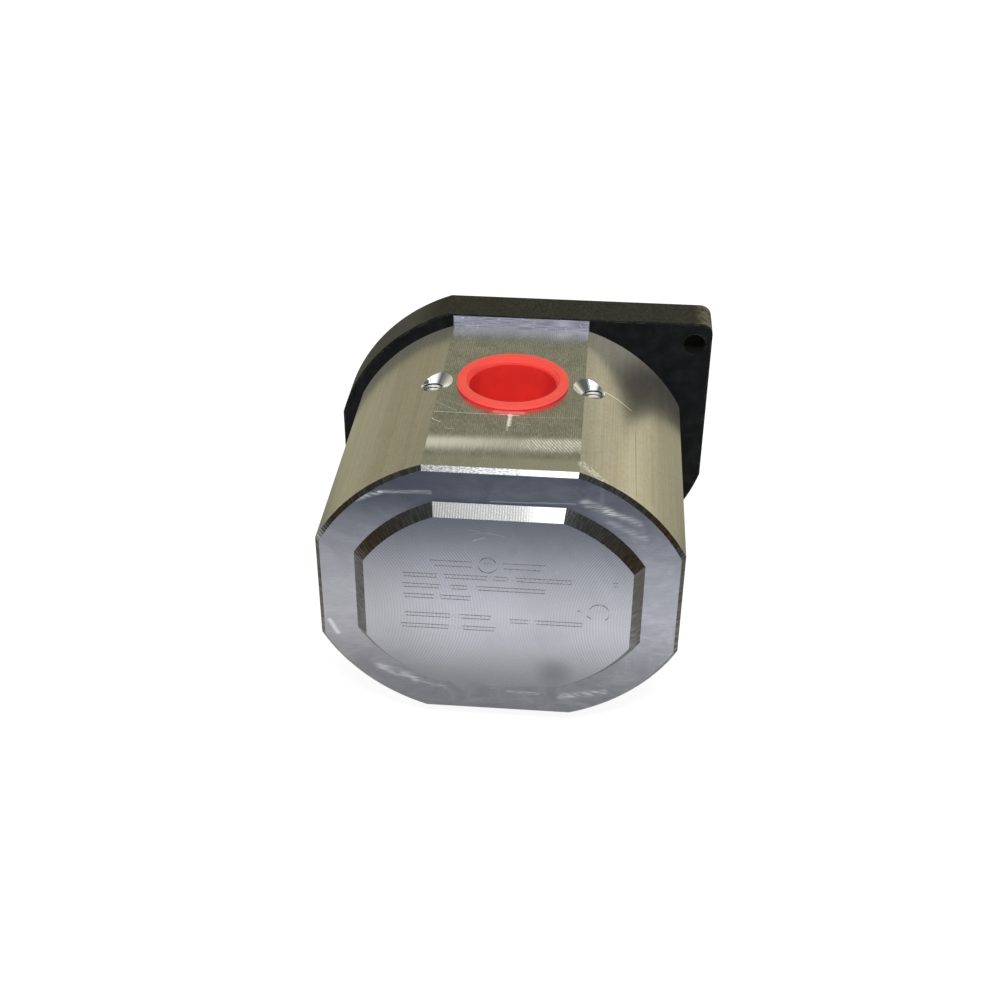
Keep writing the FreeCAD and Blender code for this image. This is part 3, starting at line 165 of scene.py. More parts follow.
class Material:
    """A Principled material built on object coordinates, in metres."""

    def __init__(self, name):
        self.material = bpy.data.materials.new(name)
        self.material.use_nodes = True
        self.tree = self.material.node_tree
        self.tree.nodes.clear()
        output = add_node(self.tree, "OutputMaterial")
        self.shader = add_node(self.tree, "BsdfPrincipled")
        self.tree.links.new(self.shader.outputs[0], output.inputs[0])
        self.coordinates = add_node(self.tree, "TexCoord").outputs
        self.normal = None

    def position(self):
        return split(self.tree, self.coordinates["Object"])

    def facing(self):
        return split(self.tree, self.coordinates["Normal"])

    def vector(self, x, y, z):
        return add_node(self.tree, "CombineXYZ", {0: x, 1: y, 2: z}).outputs[0]

    def mapped(self, scale, shift=(0.0, 0.0, 0.0), turn=None):
        """Object coordinates turned, then stretched axis by axis."""
        source = self.coordinates["Object"]
        if turn:
            source = add_node(self.tree, "Mapping", {"Vector": source, "Rotation": turn}).outputs[0]
        inputs = {"Vector": source, "Scale": scale, "Location": shift}
        return add_node(self.tree, "Mapping", inputs).outputs[0]

    def noise(self, scale, detail=2.0, rough=0.5, distort=0.0, at=None, **mapping):
        """Noise over object coordinates, or over `at`; three scales stretch it axis by axis."""
        if isinstance(scale, tuple):
            at, scale = self.mapped(scale, **mapping), 1.0
        node = add_node(self.tree, "TexNoise", {
            "Vector": at or self.coordinates["Object"], "Scale": scale, "Detail": detail,
            "Roughness": rough, "Distortion": distort})
        return Number(self.tree, node.outputs[0])

    def voronoi(self, vector, scale, feature="F1"):
        inputs = {"Vector": vector, "Scale": scale, "Randomness": 1.0}
        node = add_node(self.tree, "TexVoronoi", inputs, feature=feature)
        return Number(self.tree, node.outputs["Distance"])

    def line(self, u, v, start, end, width, soft):
        """1 within width of the line from start to end in the plane (u, v), fading over soft."""
        du, dv = end[0] - start[0], end[1] - start[1]
        from_u, from_v = u - start[0], v - start[1]
        along = ((from_u * du + from_v * dv) / (du * du + dv * dv)).clamp()
        off_u, off_v = from_u - along * du, from_v - along * dv
        return (off_u * off_u + off_v * off_v).sqrt().step(width + soft, width)

    def lines(self, u, v, rows):
        """Sum of lines; a row is start, end, width, soft, weight."""
        return total([self.line(u, v, *row) * weight for *row, weight in rows])

    def layers(self, color, *coats):
        """A colour with coats laid over it; a coat is (mask, colour)."""
        for mask, coat in coats:
            color = mix_color(self.tree, mask, color, coat)
        return color

    def lerp(self, mask, below, above):
        inputs = {0: mask, 2: below, 3: above}
        node = add_node(self.tree, "Mix", data_type="FLOAT", clamp_factor=True)
        for index, value in inputs.items():
            feed(self.tree, node.inputs[index], value)
        return Number(self.tree, node.outputs[0])

    def bump(self, height):
        """Relief from a height in metres, on top of the bevel if there is one."""
        inputs = {"Strength": 1.0, "Distance": 1.0, "Height": height}
        if self.normal is not None:
            inputs["Normal"] = self.normal
        self.normal = add_node(self.tree, "Bump", inputs).outputs[0]

    def bevel(self, radius, samples):
        """Round sharp edges in the shading; returns the node."""
        node = add_node(self.tree, "Bevel", {"Radius": radius}, samples=samples)
        self.normal = node.outputs[0]
        return node

    def edge(self, radius):
        """0 on flats, rising to 1 at sharp edges."""
        rounded_normal = add_node(self.tree, "Bevel", {"Radius": radius}, samples=4).outputs[0]
        true_normal = add_node(self.tree, "NewGeometry").outputs["True Normal"]
        inputs = {0: rounded_normal, 1: true_normal}
        dot = add_node(self.tree, "VectorMath", inputs, operation="DOT_PRODUCT")
        return Number(self.tree, dot.outputs["Value"]).step(0.995, 0.80)

    def finish(self, **inputs):
        """Feed the shader's inputs, named in lower case with underscores."""
        for key, value in inputs.items():
            key = key.replace("_", " ").title().replace("Ior", "IOR")
            feed(self.tree, self.shader.inputs[key], value)
        if self.normal is not None:
            feed(self.tree, self.shader.inputs["Normal"], self.normal)
        return self.material


# ------------------------------------------------------------------------------------------------
# milled aluminium of the pump body; its x is measured from the middle of the body
# ------------------------------------------------------------------------------------------------
def holes_beside_port(x, y, z, nz, offset, radius, side):
    """Pair of holes at x = +-offset on the top (side 1) or the underside (side -1)."""
    distance = ((x.abs() - offset) * (x.abs() - offset) + (y - PORT_Y) * (y - PORT_Y)).sqrt()
    return (distance.step(radius + 0.0003, radius) * nz.step(side * 0.88, side * 0.82)
            * z.step(0.0, side * 0.001))


def body_zones(x, y, z, ny, nz):
    """Masks that say which surface of the body a point is on."""
    flat_top = nz.step(0.985, 0.9985) * z.step(0.0668, 0.0672) * y.step(-0.15865, -0.15845)
    rear = ny.abs().step(0.90, 0.97) * y.step(-0.1600, -0.16035)
    slope = ny.abs().band(0.30, 0.92, 0.06) * y.step(-0.1580, -0.1584)
    hole = (holes_beside_port(x, y, z, nz, offset=0.038, radius=0.0098, side=1)
            + holes_beside_port(x, y, z, nz, offset=0.030, radius=0.0077, side=-1)).clamp()
    return SimpleNamespace(
        flat_top=flat_top,
        rear=rear,
        plateau=rear * y.step(-0.1640, -0.1655),
        annulus=rear * y.step(-0.1655, -0.1640),            # rear face round the plateau
        slope=slope,                                        # all slanted surfaces at the rear
        boss=slope * y.step(-0.16050, -0.16062),            # flank of the plateau
        edge_bevel=slope * y.step(-0.16062, -0.16050),      # bevel round the rear face
        lateral=(rear + slope).clamp().inv(),
        hole=hole,
        bore=hole * nz.abs().step(0.45, 0.30))              # upright walls of the holes


def body_textures(m):
    """Noises that several surfaces of the body share."""
    return SimpleNamespace(
        cloud=m.noise(38.0, detail=4.0, rough=0.6, distort=0.4),
        blotch=m.noise(120.0, detail=3.0, rough=0.6, distort=0.8),
        speck=m.noise(620.0, detail=3.0, rough=0.7),
        grain=m.noise(2400.0, rough=0.6),
        # lengthwise lines left by the cutter, from fine to coarse
        line=m.noise((2600.0, 14.0, 2600.0), rough=0.6),
        broad_line=m.noise((900.0, 5.0, 900.0), shift=(3.0, 3.0, 0.0)),
        streak=m.noise((190.0, 2.5, 190.0), detail=3.0, rough=0.55, shift=(7.0, 7.0, 0.0)),
        ragged=m.noise((420.0, 160.0, 0.0), detail=3.0, rough=0.6),
        wobble=(m.noise((300.0, 300.0, 0.0)) - 0.5) * 0.0007,
        # for the rear face: freckles, and two slanted directions of fraying
        freckle=m.noise((700.0, 0.0, 700.0), detail=3.0, rough=0.7, shift=(0.0, 4.0, 0.0)),
        fray=m.noise((90.0, 0.0, 1500.0), rough=0.6, shift=(0.0, 2.0, 0.0),
                     turn=(0.0, 0.16, 0.0)).step(0.40, 0.66),
        cross_fray=m.noise((170.0, 0.0, 1100.0), rough=0.6, shift=(0.0, 5.0, 0.0),
                           turn=(0.0, -0.22, 0.0)).step(0.36, 0.64))


def side_finish(m, x, y, z, tex, zone):
    """Curved sides: warm grey with lengthwise lines and brown smudges."""
    smear = m.noise((150.0, 60.0, 110.0), detail=4.0, rough=0.62, distort=0.5,
                    turn=(0.0, 0.0, 0.55))
    smudges = m.lines(x, y, (
        ((0.0655, -0.090), (0.0662, -0.150), 0.0006, 0.0026, 0.55),
        ((0.0505, -0.120), (0.0515, -0.156), 0.0004, 0.0020, 0.40)))
    smudge = ((smudges * tex.streak.step(0.30, 0.60) + smear.step(0.56, 0.78) * 0.35).clamp()
              * zone.flat_top.inv() * z.step(0.0, 0.01))
    dark_line = m.line(x + tex.wobble * 0.3, y, (0.0585, -0.100), (0.0590, -0.156),
                       width=0.00012, soft=0.00025) * 0.5 * z.step(0.0, 0.01)
    color = m.layers(
        (0.70, 0.69, 0.655),
        (tex.streak.step(0.35, 0.68), (0.60, 0.59, 0.555)),
        (tex.blotch.step(0.45, 0.75) * 0.35, (0.76, 0.75, 0.72)),
        (tex.line.step(0.38, 0.66) * 0.38, (0.47, 0.465, 0.43)),
        (tex.speck.step(0.50, 0.68) * 0.36, (0.42, 0.415, 0.38)),
        (tex.grain.step(0.50, 0.66) * 0.22, (0.86, 0.85, 0.80)),
        (smudge, (0.50, 0.45, 0.37)),
        (dark_line, (0.34, 0.32, 0.27)))
    relief = ((tex.line * 0.6 + tex.broad_line * 0.9 + tex.speck * 0.5) * 0.000010
              * zone.lateral * zone.flat_top.inv() * zone.hole.inv())
    return SimpleNamespace(color=color, relief=relief)


def flat_top_finish(m, x, y, tex, flat_top):
    """Top flat: evenly spaced cutter lines that wander, with a cutter overlap band across them whose
    brightness is a painted highlight.
    """
    wander = m.noise((60.0, 30.0, 0.0))
    ridges = (x + wander * 0.0006).wave(pitch=0.00098) * 0.5 + 0.5
    ridge_depth = m.noise((130.0, 75.0, 0.0), detail=3.0, rough=0.6,
                          shift=(0.0, 0.0, 1.0)).step(0.32, 0.66)
    ticks = m.noise((1500.0, 330.0, 0.0), rough=0.7, shift=(0.0, 0.0, 2.0))

    # overlap band, brightened by a painted highlight: slightly askew, with toothed borders, fainter
    # towards +X
    tooth = m.noise((1300.0, 60.0, 0.0), rough=0.6, shift=(0.0, 0.0, 4.0))
    across = y + (tooth - 0.5) * 0.0010 + (tex.ragged - 0.5) * 0.0008 - x * 0.045
    overlap = (across.step(-0.1485, -0.1378) * across.step(-0.1282, -0.1362)
               * x.abs().step(0.0350, 0.0338) * flat_top)
    overlap = (overlap.pow(1.5) * (0.62 + tooth * 0.62)
               * m.lerp(x.step(0.008, -0.026), 0.66, 1.10))

    # glint: curved bright lines at the +X end of the band
    glint_lines = (x + y * 0.50 - x * x * 2.0).wave(pitch=0.00138).step(-0.30, 0.9) * 0.62
    glint = ((y + (tex.ragged - 0.5) * 0.004 - x * 0.03).band(-0.1408, -0.1352, soft=0.0045)
             * x.band(0.018, 0.033, soft=0.016) * flat_top * glint_lines
             * m.noise((500.0, 220.0, 0.0), detail=3.0, rough=0.6).step(0.34, 0.60))

    from_port = (x * x + (y - PORT_Y) * (y - PORT_Y)).sqrt()
    painted_cap_reflection = from_port.step(0.0292, 0.0262) * y.step(-0.094, -0.104)     # painted reflection of the red cap in the flat
    rear_end = y.step(-0.1465, -0.1520) * x.step(-0.02, 0.02).remap(0.0, 1.0, 0.45, 0.90)
    color = m.layers(
        (0.40, 0.405, 0.370),
        (ridges * ridge_depth, (0.68, 0.68, 0.625)),
        (ticks.step(0.48, 0.64) * 0.60, (0.70, 0.70, 0.65)),
        (ticks.step(0.44, 0.32) * 0.60, (0.30, 0.305, 0.27)),
        (tex.cloud.step(0.40, 0.70) * 0.4, (0.46, 0.465, 0.42)),
        (rear_end, (0.68, 0.68, 0.61)),
        (painted_cap_reflection * 0.70, (0.95, 0.52, 0.50)),
        (overlap * 0.86, (0.93, 0.92, 0.84)),
        (glint, (1.0, 1.0, 0.97)))
    relief = (ridges * ridge_depth * 0.000010 + ticks * 0.000008) * flat_top
    return SimpleNamespace(color=color, relief=relief, overlap=overlap, glint=glint)


# scratches on the top flat: start (x, y), end (x, y), width, soft border, weight
SCRATCHES = (
    ((-0.0345, -0.1118), (-0.0010, -0.1122), 0.00009, 0.00022, 0.60),
    ((0.0032, -0.1139), (0.0337, -0.1120), 0.00005, 0.00018, 0.30),
    ((-0.0352, -0.1090), (-0.0350, -0.1150), 0.00008, 0.00022, 0.7),
    ((-0.0350, -0.1150), (-0.0334, -0.1192), 0.00008, 0.00022, 0.9),
    ((-0.0334, -0.1192), (-0.0300, -0.1212), 0.00006, 0.00020, 0.8),
    ((-0.0274, -0.1265), (-0.0232, -0.1268), 0.00007, 0.00020, 0.45),
    ((0.0043, -0.1194), (0.0119, -0.1202), 0.00006, 0.00020, 0.25),
    ((-0.0336, -0.1031), (-0.0235, -0.1104), 0.00007, 0.00022, 0.38),
    ((-0.0290, -0.1010), (-0.0180, -0.1075), 0.00005, 0.0002, 0.25),
    ((-0.0036, -0.1121), (0.0050, -0.1124), 0.00012, 0.00035, 0.9),
    ((0.0150, -0.1290), (0.0205, -0.1262), 0.00005, 0.0002, 0.25),
    ((-0.0205, -0.0480), (-0.0120, -0.0455), 0.00005, 0.0002, 0.25))


def top_marks_and_highlights(m, x, y, z, tex, flat_top):
    """Bright marks on the upper side: scratches and a burr, plus painted highlights: a drip mark's
    glint with its halo, and a corner glint.
    """
    u, v = x + tex.wobble, y + tex.wobble
    patchy = m.noise((520.0, 520.0, 0.0), shift=(0.0, 0.0, 3.0)).step(0.30, 0.56)
    scratches = m.lines(u, v, SCRATCHES).clamp() * flat_top * m.lerp(patchy, 0.45, 1.0)

    sway = (tex.ragged - 0.5) * 0.0022
    # the drip mark's glint and its halo are painted highlights
    drip_glint_gaps = m.noise((1500.0, 600.0, 0.0), rough=0.6, shift=(0.0, 0.0, 6.0)).step(0.28, 0.52)
    drip_glint = (m.line(u + sway, v, (0.0010, -0.1122), (0.0010, -0.1150), 0.00060, 0.0009) * 0.95
            + m.line(u + sway, v, (0.0010, -0.1150), (0.0010, -0.1215), 0.00050, 0.0007) * 0.95
            + m.line(u - sway, v, (0.0008, -0.1215), (0.0007, -0.1262), 0.00025, 0.0005) * 0.30
            ).clamp() * drip_glint_gaps * flat_top
    glint_halo = m.line(u, v, (-0.0060, -0.1098), (0.0066, -0.1100),
                  width=0.0007, soft=0.0012).clamp() * 0.5 * flat_top
    burr = (m.line(x, y, (0.0434, -0.0796), (0.0500, -0.0804), 0.00012, 0.00022)
            + m.line(x, y, (0.0500, -0.0804), (0.0562, -0.0830), 0.00010, 0.00020)
            ).clamp() * z.step(0.05, 0.052)
    corner_glint = (m.line(x + tex.wobble, y, (0.0352, -0.1512), (0.0440, -0.1578),
                           width=0.0010, soft=0.0022)
                    * m.noise((900.0, 500.0, 0.0)).step(0.36, 0.62) * z.step(0.050, 0.055))
    return SimpleNamespace(scratches=scratches, drip_glint=drip_glint, glint_halo=glint_halo, burr=burr,
                           corner_glint=corner_glint)


# rows of marked text on the plateau: z, x of the start, x of the end
TEXT_ROWS = (
    (0.0146, -0.0425, 0.0330), (0.0088, -0.0427, 0.0215), (0.0030, -0.0424, -0.0120),
    (-0.0074, -0.0420, -0.0030), (-0.0086, 0.0055, 0.0385), (-0.0138, -0.0440, -0.0010))


def plateau_finish(m, x, z, tex, plateau):
    """Plateau: equal face-mill arcs stepped sideways, bulging to the middle from both sides."""
    arc_z = z + 0.006
    bow = (0.055 * 0.055 - arc_z * arc_z).sqrt()        # arcs of radius 0.055
    swing = m.noise((40.0, 0.0, 40.0)) * 0.0010
    left_arcs = (x - bow + swing).wave(pitch=0.00146)
    right_arcs = (x + bow - swing).wave(pitch=0.00134)
    left_share = x.step(0.016, -0.022)
    right_share = x.step(-0.010, 0.026)
    edge_fade = arc_z.abs().step(0.047, 0.034)
    arc_patch = m.noise((48.0, 0.0, 48.0)).step(0.28, 0.62)
    arcs = ((left_arcs * left_share + right_arcs * right_share * 0.8) * edge_fade
            * m.lerp(arc_patch, 0.35, 1.0))
    low_lines = z.wave(pitch=0.0011) * z.step(-0.036, -0.041)
    blob = ((x - 0.0266) * (x - 0.0266) + (z + 0.0367) * (z + 0.0367)).sqrt().step(0.0120, 0.001)
    stain = m.noise((26.0, 0.0, 30.0), detail=4.0, rough=0.62, distort=0.8, shift=(0.0, 3.0, 0.0))

    # the text rows are broken into words and pecks
    words = (x + 0.5).wave(pitch=0.0020).step(-0.25, 0.35)
    rows = total([
        x.step(start - 0.0001, start) * x.step(end + 0.0001, end)
        * (z - row_z).abs().step(0.0012, 0.0010) for row_z, start, end in TEXT_ROWS])
    pecks = m.noise((1250.0, 0.0, 1250.0), rough=0.6, shift=(0.0, 9.0, 0.0))
    pecked = rows.clamp() * plateau * pecks.step(0.50, 0.60) * words

    border = (x.step(-0.020, -0.052) * 0.48 + z.step(0.020, 0.042) * 0.30
              + z.step(-0.020, -0.044) * 0.25).clamp()
    color = m.layers(
        (0.56, 0.565, 0.585),
        (arcs * 0.5 + 0.5, (0.69, 0.695, 0.715)),
        (stain.step(0.42, 0.70) * 0.40, (0.49, 0.495, 0.505)),
        (tex.freckle.step(0.56, 0.72) * 0.18, (0.82, 0.82, 0.84)),
        (border, (0.45, 0.45, 0.44)),
        (blob * 0.60, (0.30, 0.305, 0.33)),
        (pecked * 0.62, (0.34, 0.345, 0.37)))
    relief = (arcs * 0.0000055 + low_lines * 0.000002 + tex.freckle * 0.000004) * plateau
    return SimpleNamespace(color=color, relief=relief)


def annulus_finish(m, x, z, tex, annulus):
    """Rear face round the plateau: brushed along X, patchy, darker towards -X and the top."""
    brush = m.noise((140.0, 0.0, 1500.0), detail=3.0, rough=0.6)
    patch = m.noise((55.0, 0.0, 90.0), detail=4.0, rough=0.65, distort=1.2, shift=(0.0, 4.0, 0.0))
    top_shade = z.step(0.036, 0.052) * x.step(0.0, -0.040).remap(0.0, 1.0, 0.36, 0.80)
    color = m.layers(
        (0.50, 0.51, 0.54),
        (patch.step(0.35, 0.68), (0.66, 0.665, 0.69)),
        (brush.step(0.42, 0.66) * 0.35, (0.42, 0.43, 0.46)),
        (tex.freckle.step(0.55, 0.72) * 0.22, (0.80, 0.80, 0.82)),
        (x.step(-0.030, -0.065) * 0.35, (0.52, 0.505, 0.475)),
        (top_shade, (0.27, 0.29, 0.325)))
    relief = (brush * 0.000008 + patch * 0.00002 + tex.freckle * 0.000006) * annulus
    return SimpleNamespace(color=color, relief=relief, patch=patch)


def rear_highlights_and_nicks(m, x, z, tex, zone):
    """Painted highlight streaks at the four arcs of the annulus, and nicks on the plateau."""
    waver = (m.noise((160.0, 0.0, 160.0), detail=3.0, rough=0.6) - 0.5) * 0.0010
    u, v = x + waver, z + waver
    fray, cross = tex.fray, tex.cross_fray
    # start (x, z), end (x, z), width, soft border, fraying, its gain, strength without fraying
    streaks = (
        ((-0.0650, 0.0484), (-0.0520, 0.0538), 0.0, 0.0018, cross, 0.55, 0.10),
        ((-0.0520, 0.0540), (-0.0300, 0.0550), 0.0, 0.0014, fray, 0.46, 0.14),
        ((0.0370, 0.0535), (0.0480, 0.0492), 0.0004, 0.0030, fray, 0.44, 0.06),
        ((0.0460, 0.0500), (0.0610, 0.0440), 0.0, 0.0024, fray, 0.62, 0.10),
        ((0.0480, 0.0440), (0.0640, 0.0360), 0.0, 0.0030, fray, 0.30, None),
        ((-0.0040, 0.0516), (0.0330, 0.0525), 0.0, 0.0005, None, None, 0.30),
        ((-0.0560, -0.0438), (-0.0400, -0.0500), 0.0003, 0.0034, cross, 0.42, None),
        ((-0.0400, -0.0500), (-0.0250, -0.0545), 0.0, 0.0016, cross, 0.30, None),
        ((0.0050, -0.0550), (0.0190, -0.0552), 0.0, 0.0014, fray, 0.50, None),
        ((0.0300, -0.0560), (0.0500, -0.0520), 0.0002, 0.0026, cross, 0.50, None),
        ((-0.0780, -0.0180), (-0.0745, -0.0250), 0.0, 0.0018, None, None, 0.45))

    def streak(*row):
        *shape, frayed, gain, even = row
        line = m.line(u, v, *shape)
        if frayed is None:
            return line * even
        if even is None:
            return line * frayed * gain
        return line * (frayed * gain + even)

    # painted highlights: bright streaks on the annulus
    painted_glare_streaks = total([streak(*row) for row in streaks]).clamp() * zone.annulus
    nicks = m.lines(u, v, (
        ((-0.0115, 0.0383), (-0.0030, 0.0388), 0.0, 0.00035, 0.16),
        ((-0.0030, 0.0388), (0.0030, 0.0372), 0.0, 0.00030, 0.18),
        ((-0.0108, 0.0344), (-0.0060, 0.0362), 0.0, 0.00035, 0.30),
        ((-0.0130, 0.0402), (-0.0080, 0.0392), 0.0, 0.00030, 0.22),
    )).clamp() * zone.plateau * (cross * 0.5 + 0.5)
    return SimpleNamespace(painted_glare_streaks=painted_glare_streaks, nicks=nicks)


def slope_finish(m, x, y, z, nx, nz, zone):
    """Bevels: tool marks across them; the upward-facing ones are painted white as a highlight, broken
    up towards -X.
    """
    around = z.op("ARCTAN2", x) * 0.060         # arc length at a radius of 0.060
    unevenness = m.noise(1.0, at=m.vector(around * 500.0, y * 90.0, 0.0))
    chatter = (around + unevenness * 0.0004).wave(pitch=0.00115)
    fine_chatter = m.noise(1.0, rough=0.6, at=m.vector(around * 1500.0, y * 160.0, 2.0))
    # upward-facing bevels: painted highlight, white
    painted_top_highlight = z.step(0.040, 0.044) * nz.step(0.62, 0.68) * nx.abs().step(0.10, 0.04)
    columns = (x.wave(pitch=0.00118)
               * (z + x * 0.04).wave(pitch=0.00150).remap(-1.0, 1.0, 0.45, 1.0))
    cells = m.noise((700.0, 2600.0, 0.0), detail=3.0, rough=0.75)
    to_left = x.step(0.024, 0.006)
    white = m.layers(
        (0.97, 0.97, 0.96),
        (to_left * zone.boss * m.lerp(columns * 0.5 + 0.5, 0.36, 0.92), (0.25, 0.265, 0.26)),
        (to_left * cells.step(0.40, 0.62) * m.lerp(zone.boss, 0.90, 0.62), (0.32, 0.33, 0.36)))
    color = m.layers(
        (0.40, 0.39, 0.37),
        (fine_chatter.step(0.38, 0.62), (0.76, 0.75, 0.73)),
        ((chatter * 0.5 + 0.5) * 0.35, (0.36, 0.35, 0.33)),
        (painted_top_highlight, white))
    relief = ((chatter * 0.000007 + fine_chatter * 0.000010) * zone.slope * painted_top_highlight.inv()
              + cells * 0.000004 * painted_top_highlight * to_left)
    return SimpleNamespace(color=color, relief=relief)


def hole_finish(m, z, nx, ny, zone):
    """Countersinks get a painted highlight that glows; the thread below is painted as bright and dark
    turns.
    """
    turns = z.wave(pitch=0.00175, phase=nx * 1.6).step(-0.25, 0.45)
    shine = nx.abs().step(0.32, 0.10)
    lit = (zone.hole * zone.bore.inv() * (0.05 + shine * 0.70 + nx.step(-0.25, -0.55) * 0.16)
           * ny.step(0.35, -0.25)
           + zone.bore * turns * z.step(0.040, 0.052) * nx.abs().step(0.75, 0.25) * 0.50)
    color = m.layers((0.88, 0.88, 0.88), (zone.bore * turns.inv(), (0.20, 0.20, 0.20)))
    return SimpleNamespace(color=color, lit=lit)


def body_roughness(m, tex, zone, flat, patch):
    rough = m.lerp(tex.cloud, 0.19, 0.27)
    for mask, value in (
            (zone.flat_top, m.lerp(tex.cloud, 0.20, 0.30)),
            (zone.annulus, m.lerp(patch, 0.24, 0.36)),
            (zone.plateau, 0.25),
            (zone.slope, 0.15),
            (zone.boss, 0.17),
            (zone.hole, 0.10),
            ((flat.overlap + flat.glint).clamp() * 0.5, 0.34)):
        rough = m.lerp(mask, rough, value)
    return (rough + (tex.grain - 0.5) * 0.08).clamp()


def body_material():
    m = Material("pump_body_aluminium")
    x, y, z = m.position()
    x = x - MIDDLE_X
    nx, ny, nz = m.facing()
    zone = body_zones(x, y, z, ny, nz)
    tex = body_textures(m)

    # edges are rounded by edge_radius, but hardly at all on the rear face
    edge_radius = 0.00022
    bevel = m.bevel(edge_radius, samples=6)
    feed(m.tree, bevel.inputs["Radius"], zone.rear.inv() * edge_radius + 0.00003)

    side = side_finish(m, x, y, z, tex, zone)
    flat = flat_top_finish(m, x, y, tex, zone.flat_top)
    top = top_marks_and_highlights(m, x, y, z, tex, zone.flat_top)
    plateau = plateau_finish(m, x, z, tex, zone.plateau)
    annulus = annulus_finish(m, x, z, tex, zone.annulus)
    back = rear_highlights_and_nicks(m, x, z, tex, zone)
    slope = slope_finish(m, x, y, z, nx, nz, zone)
    hole = hole_finish(m, z, nx, ny, zone)

    fine_scratches = (
        m.voronoi(m.mapped((90.0, 9.0, 90.0), turn=(0.0, 0.0, 0.20)), scale=3.0,
                  feature="DISTANCE_TO_EDGE").step(0.010, 0.0)
        * m.noise(60.0).step(0.52, 0.66))
    # real scratches, burr and nicks together with painted highlights
    marks_and_highlights = (top.scratches + top.burr + top.drip_glint + top.glint_halo * 0.5 + back.painted_glare_streaks * 0.9
             + back.nicks + top.corner_glint * 0.5).clamp()
    color = m.layers(
        side.color,
        (zone.flat_top, flat.color),
        (zone.annulus, annulus.color),
        (zone.plateau, plateau.color),
        (zone.slope, slope.color),
        (zone.hole, hole.color),
        (marks_and_highlights, (1.0, 1.0, 0.98)),
        (fine_scratches * 0.30, (0.88, 0.88, 0.86)))
    m.bump(side.relief + flat.relief + plateau.relief + annulus.relief + slope.relief
           + tex.grain * 0.0000012)

    # painted light: marks, overlap band, glint and countersinks glow a little; by the joint, a
    # painted reflection of the bared flange strip
    near_joint = y.step(-0.0400, -0.0245) * zone.flat_top
    painted_strip_reflection = near_joint * x.step(0.0, 0.030).remap(0.0, 1.0, 0.15, 0.21)
    glow = (marks_and_highlights * 0.36 + flat.overlap * 0.19 + flat.glint * 0.36 + painted_strip_reflection
            + hole.lit).clamp() * zone.edge_bevel.inv()
    return m.finish(
        base_color=color,
        metallic=1.0,
        roughness=body_roughness(m, tex, zone, flat, annulus.patch),
        anisotropic=(zone.lateral * 0.30 * zone.hole.inv()).clamp(),
        tangent=m.vector(0.0, 1.0, 0.0),
        emission_color=m.layers((1.0, 0.99, 0.93), (near_joint, (0.86, 0.90, 1.0))),
        emission_strength=glow)


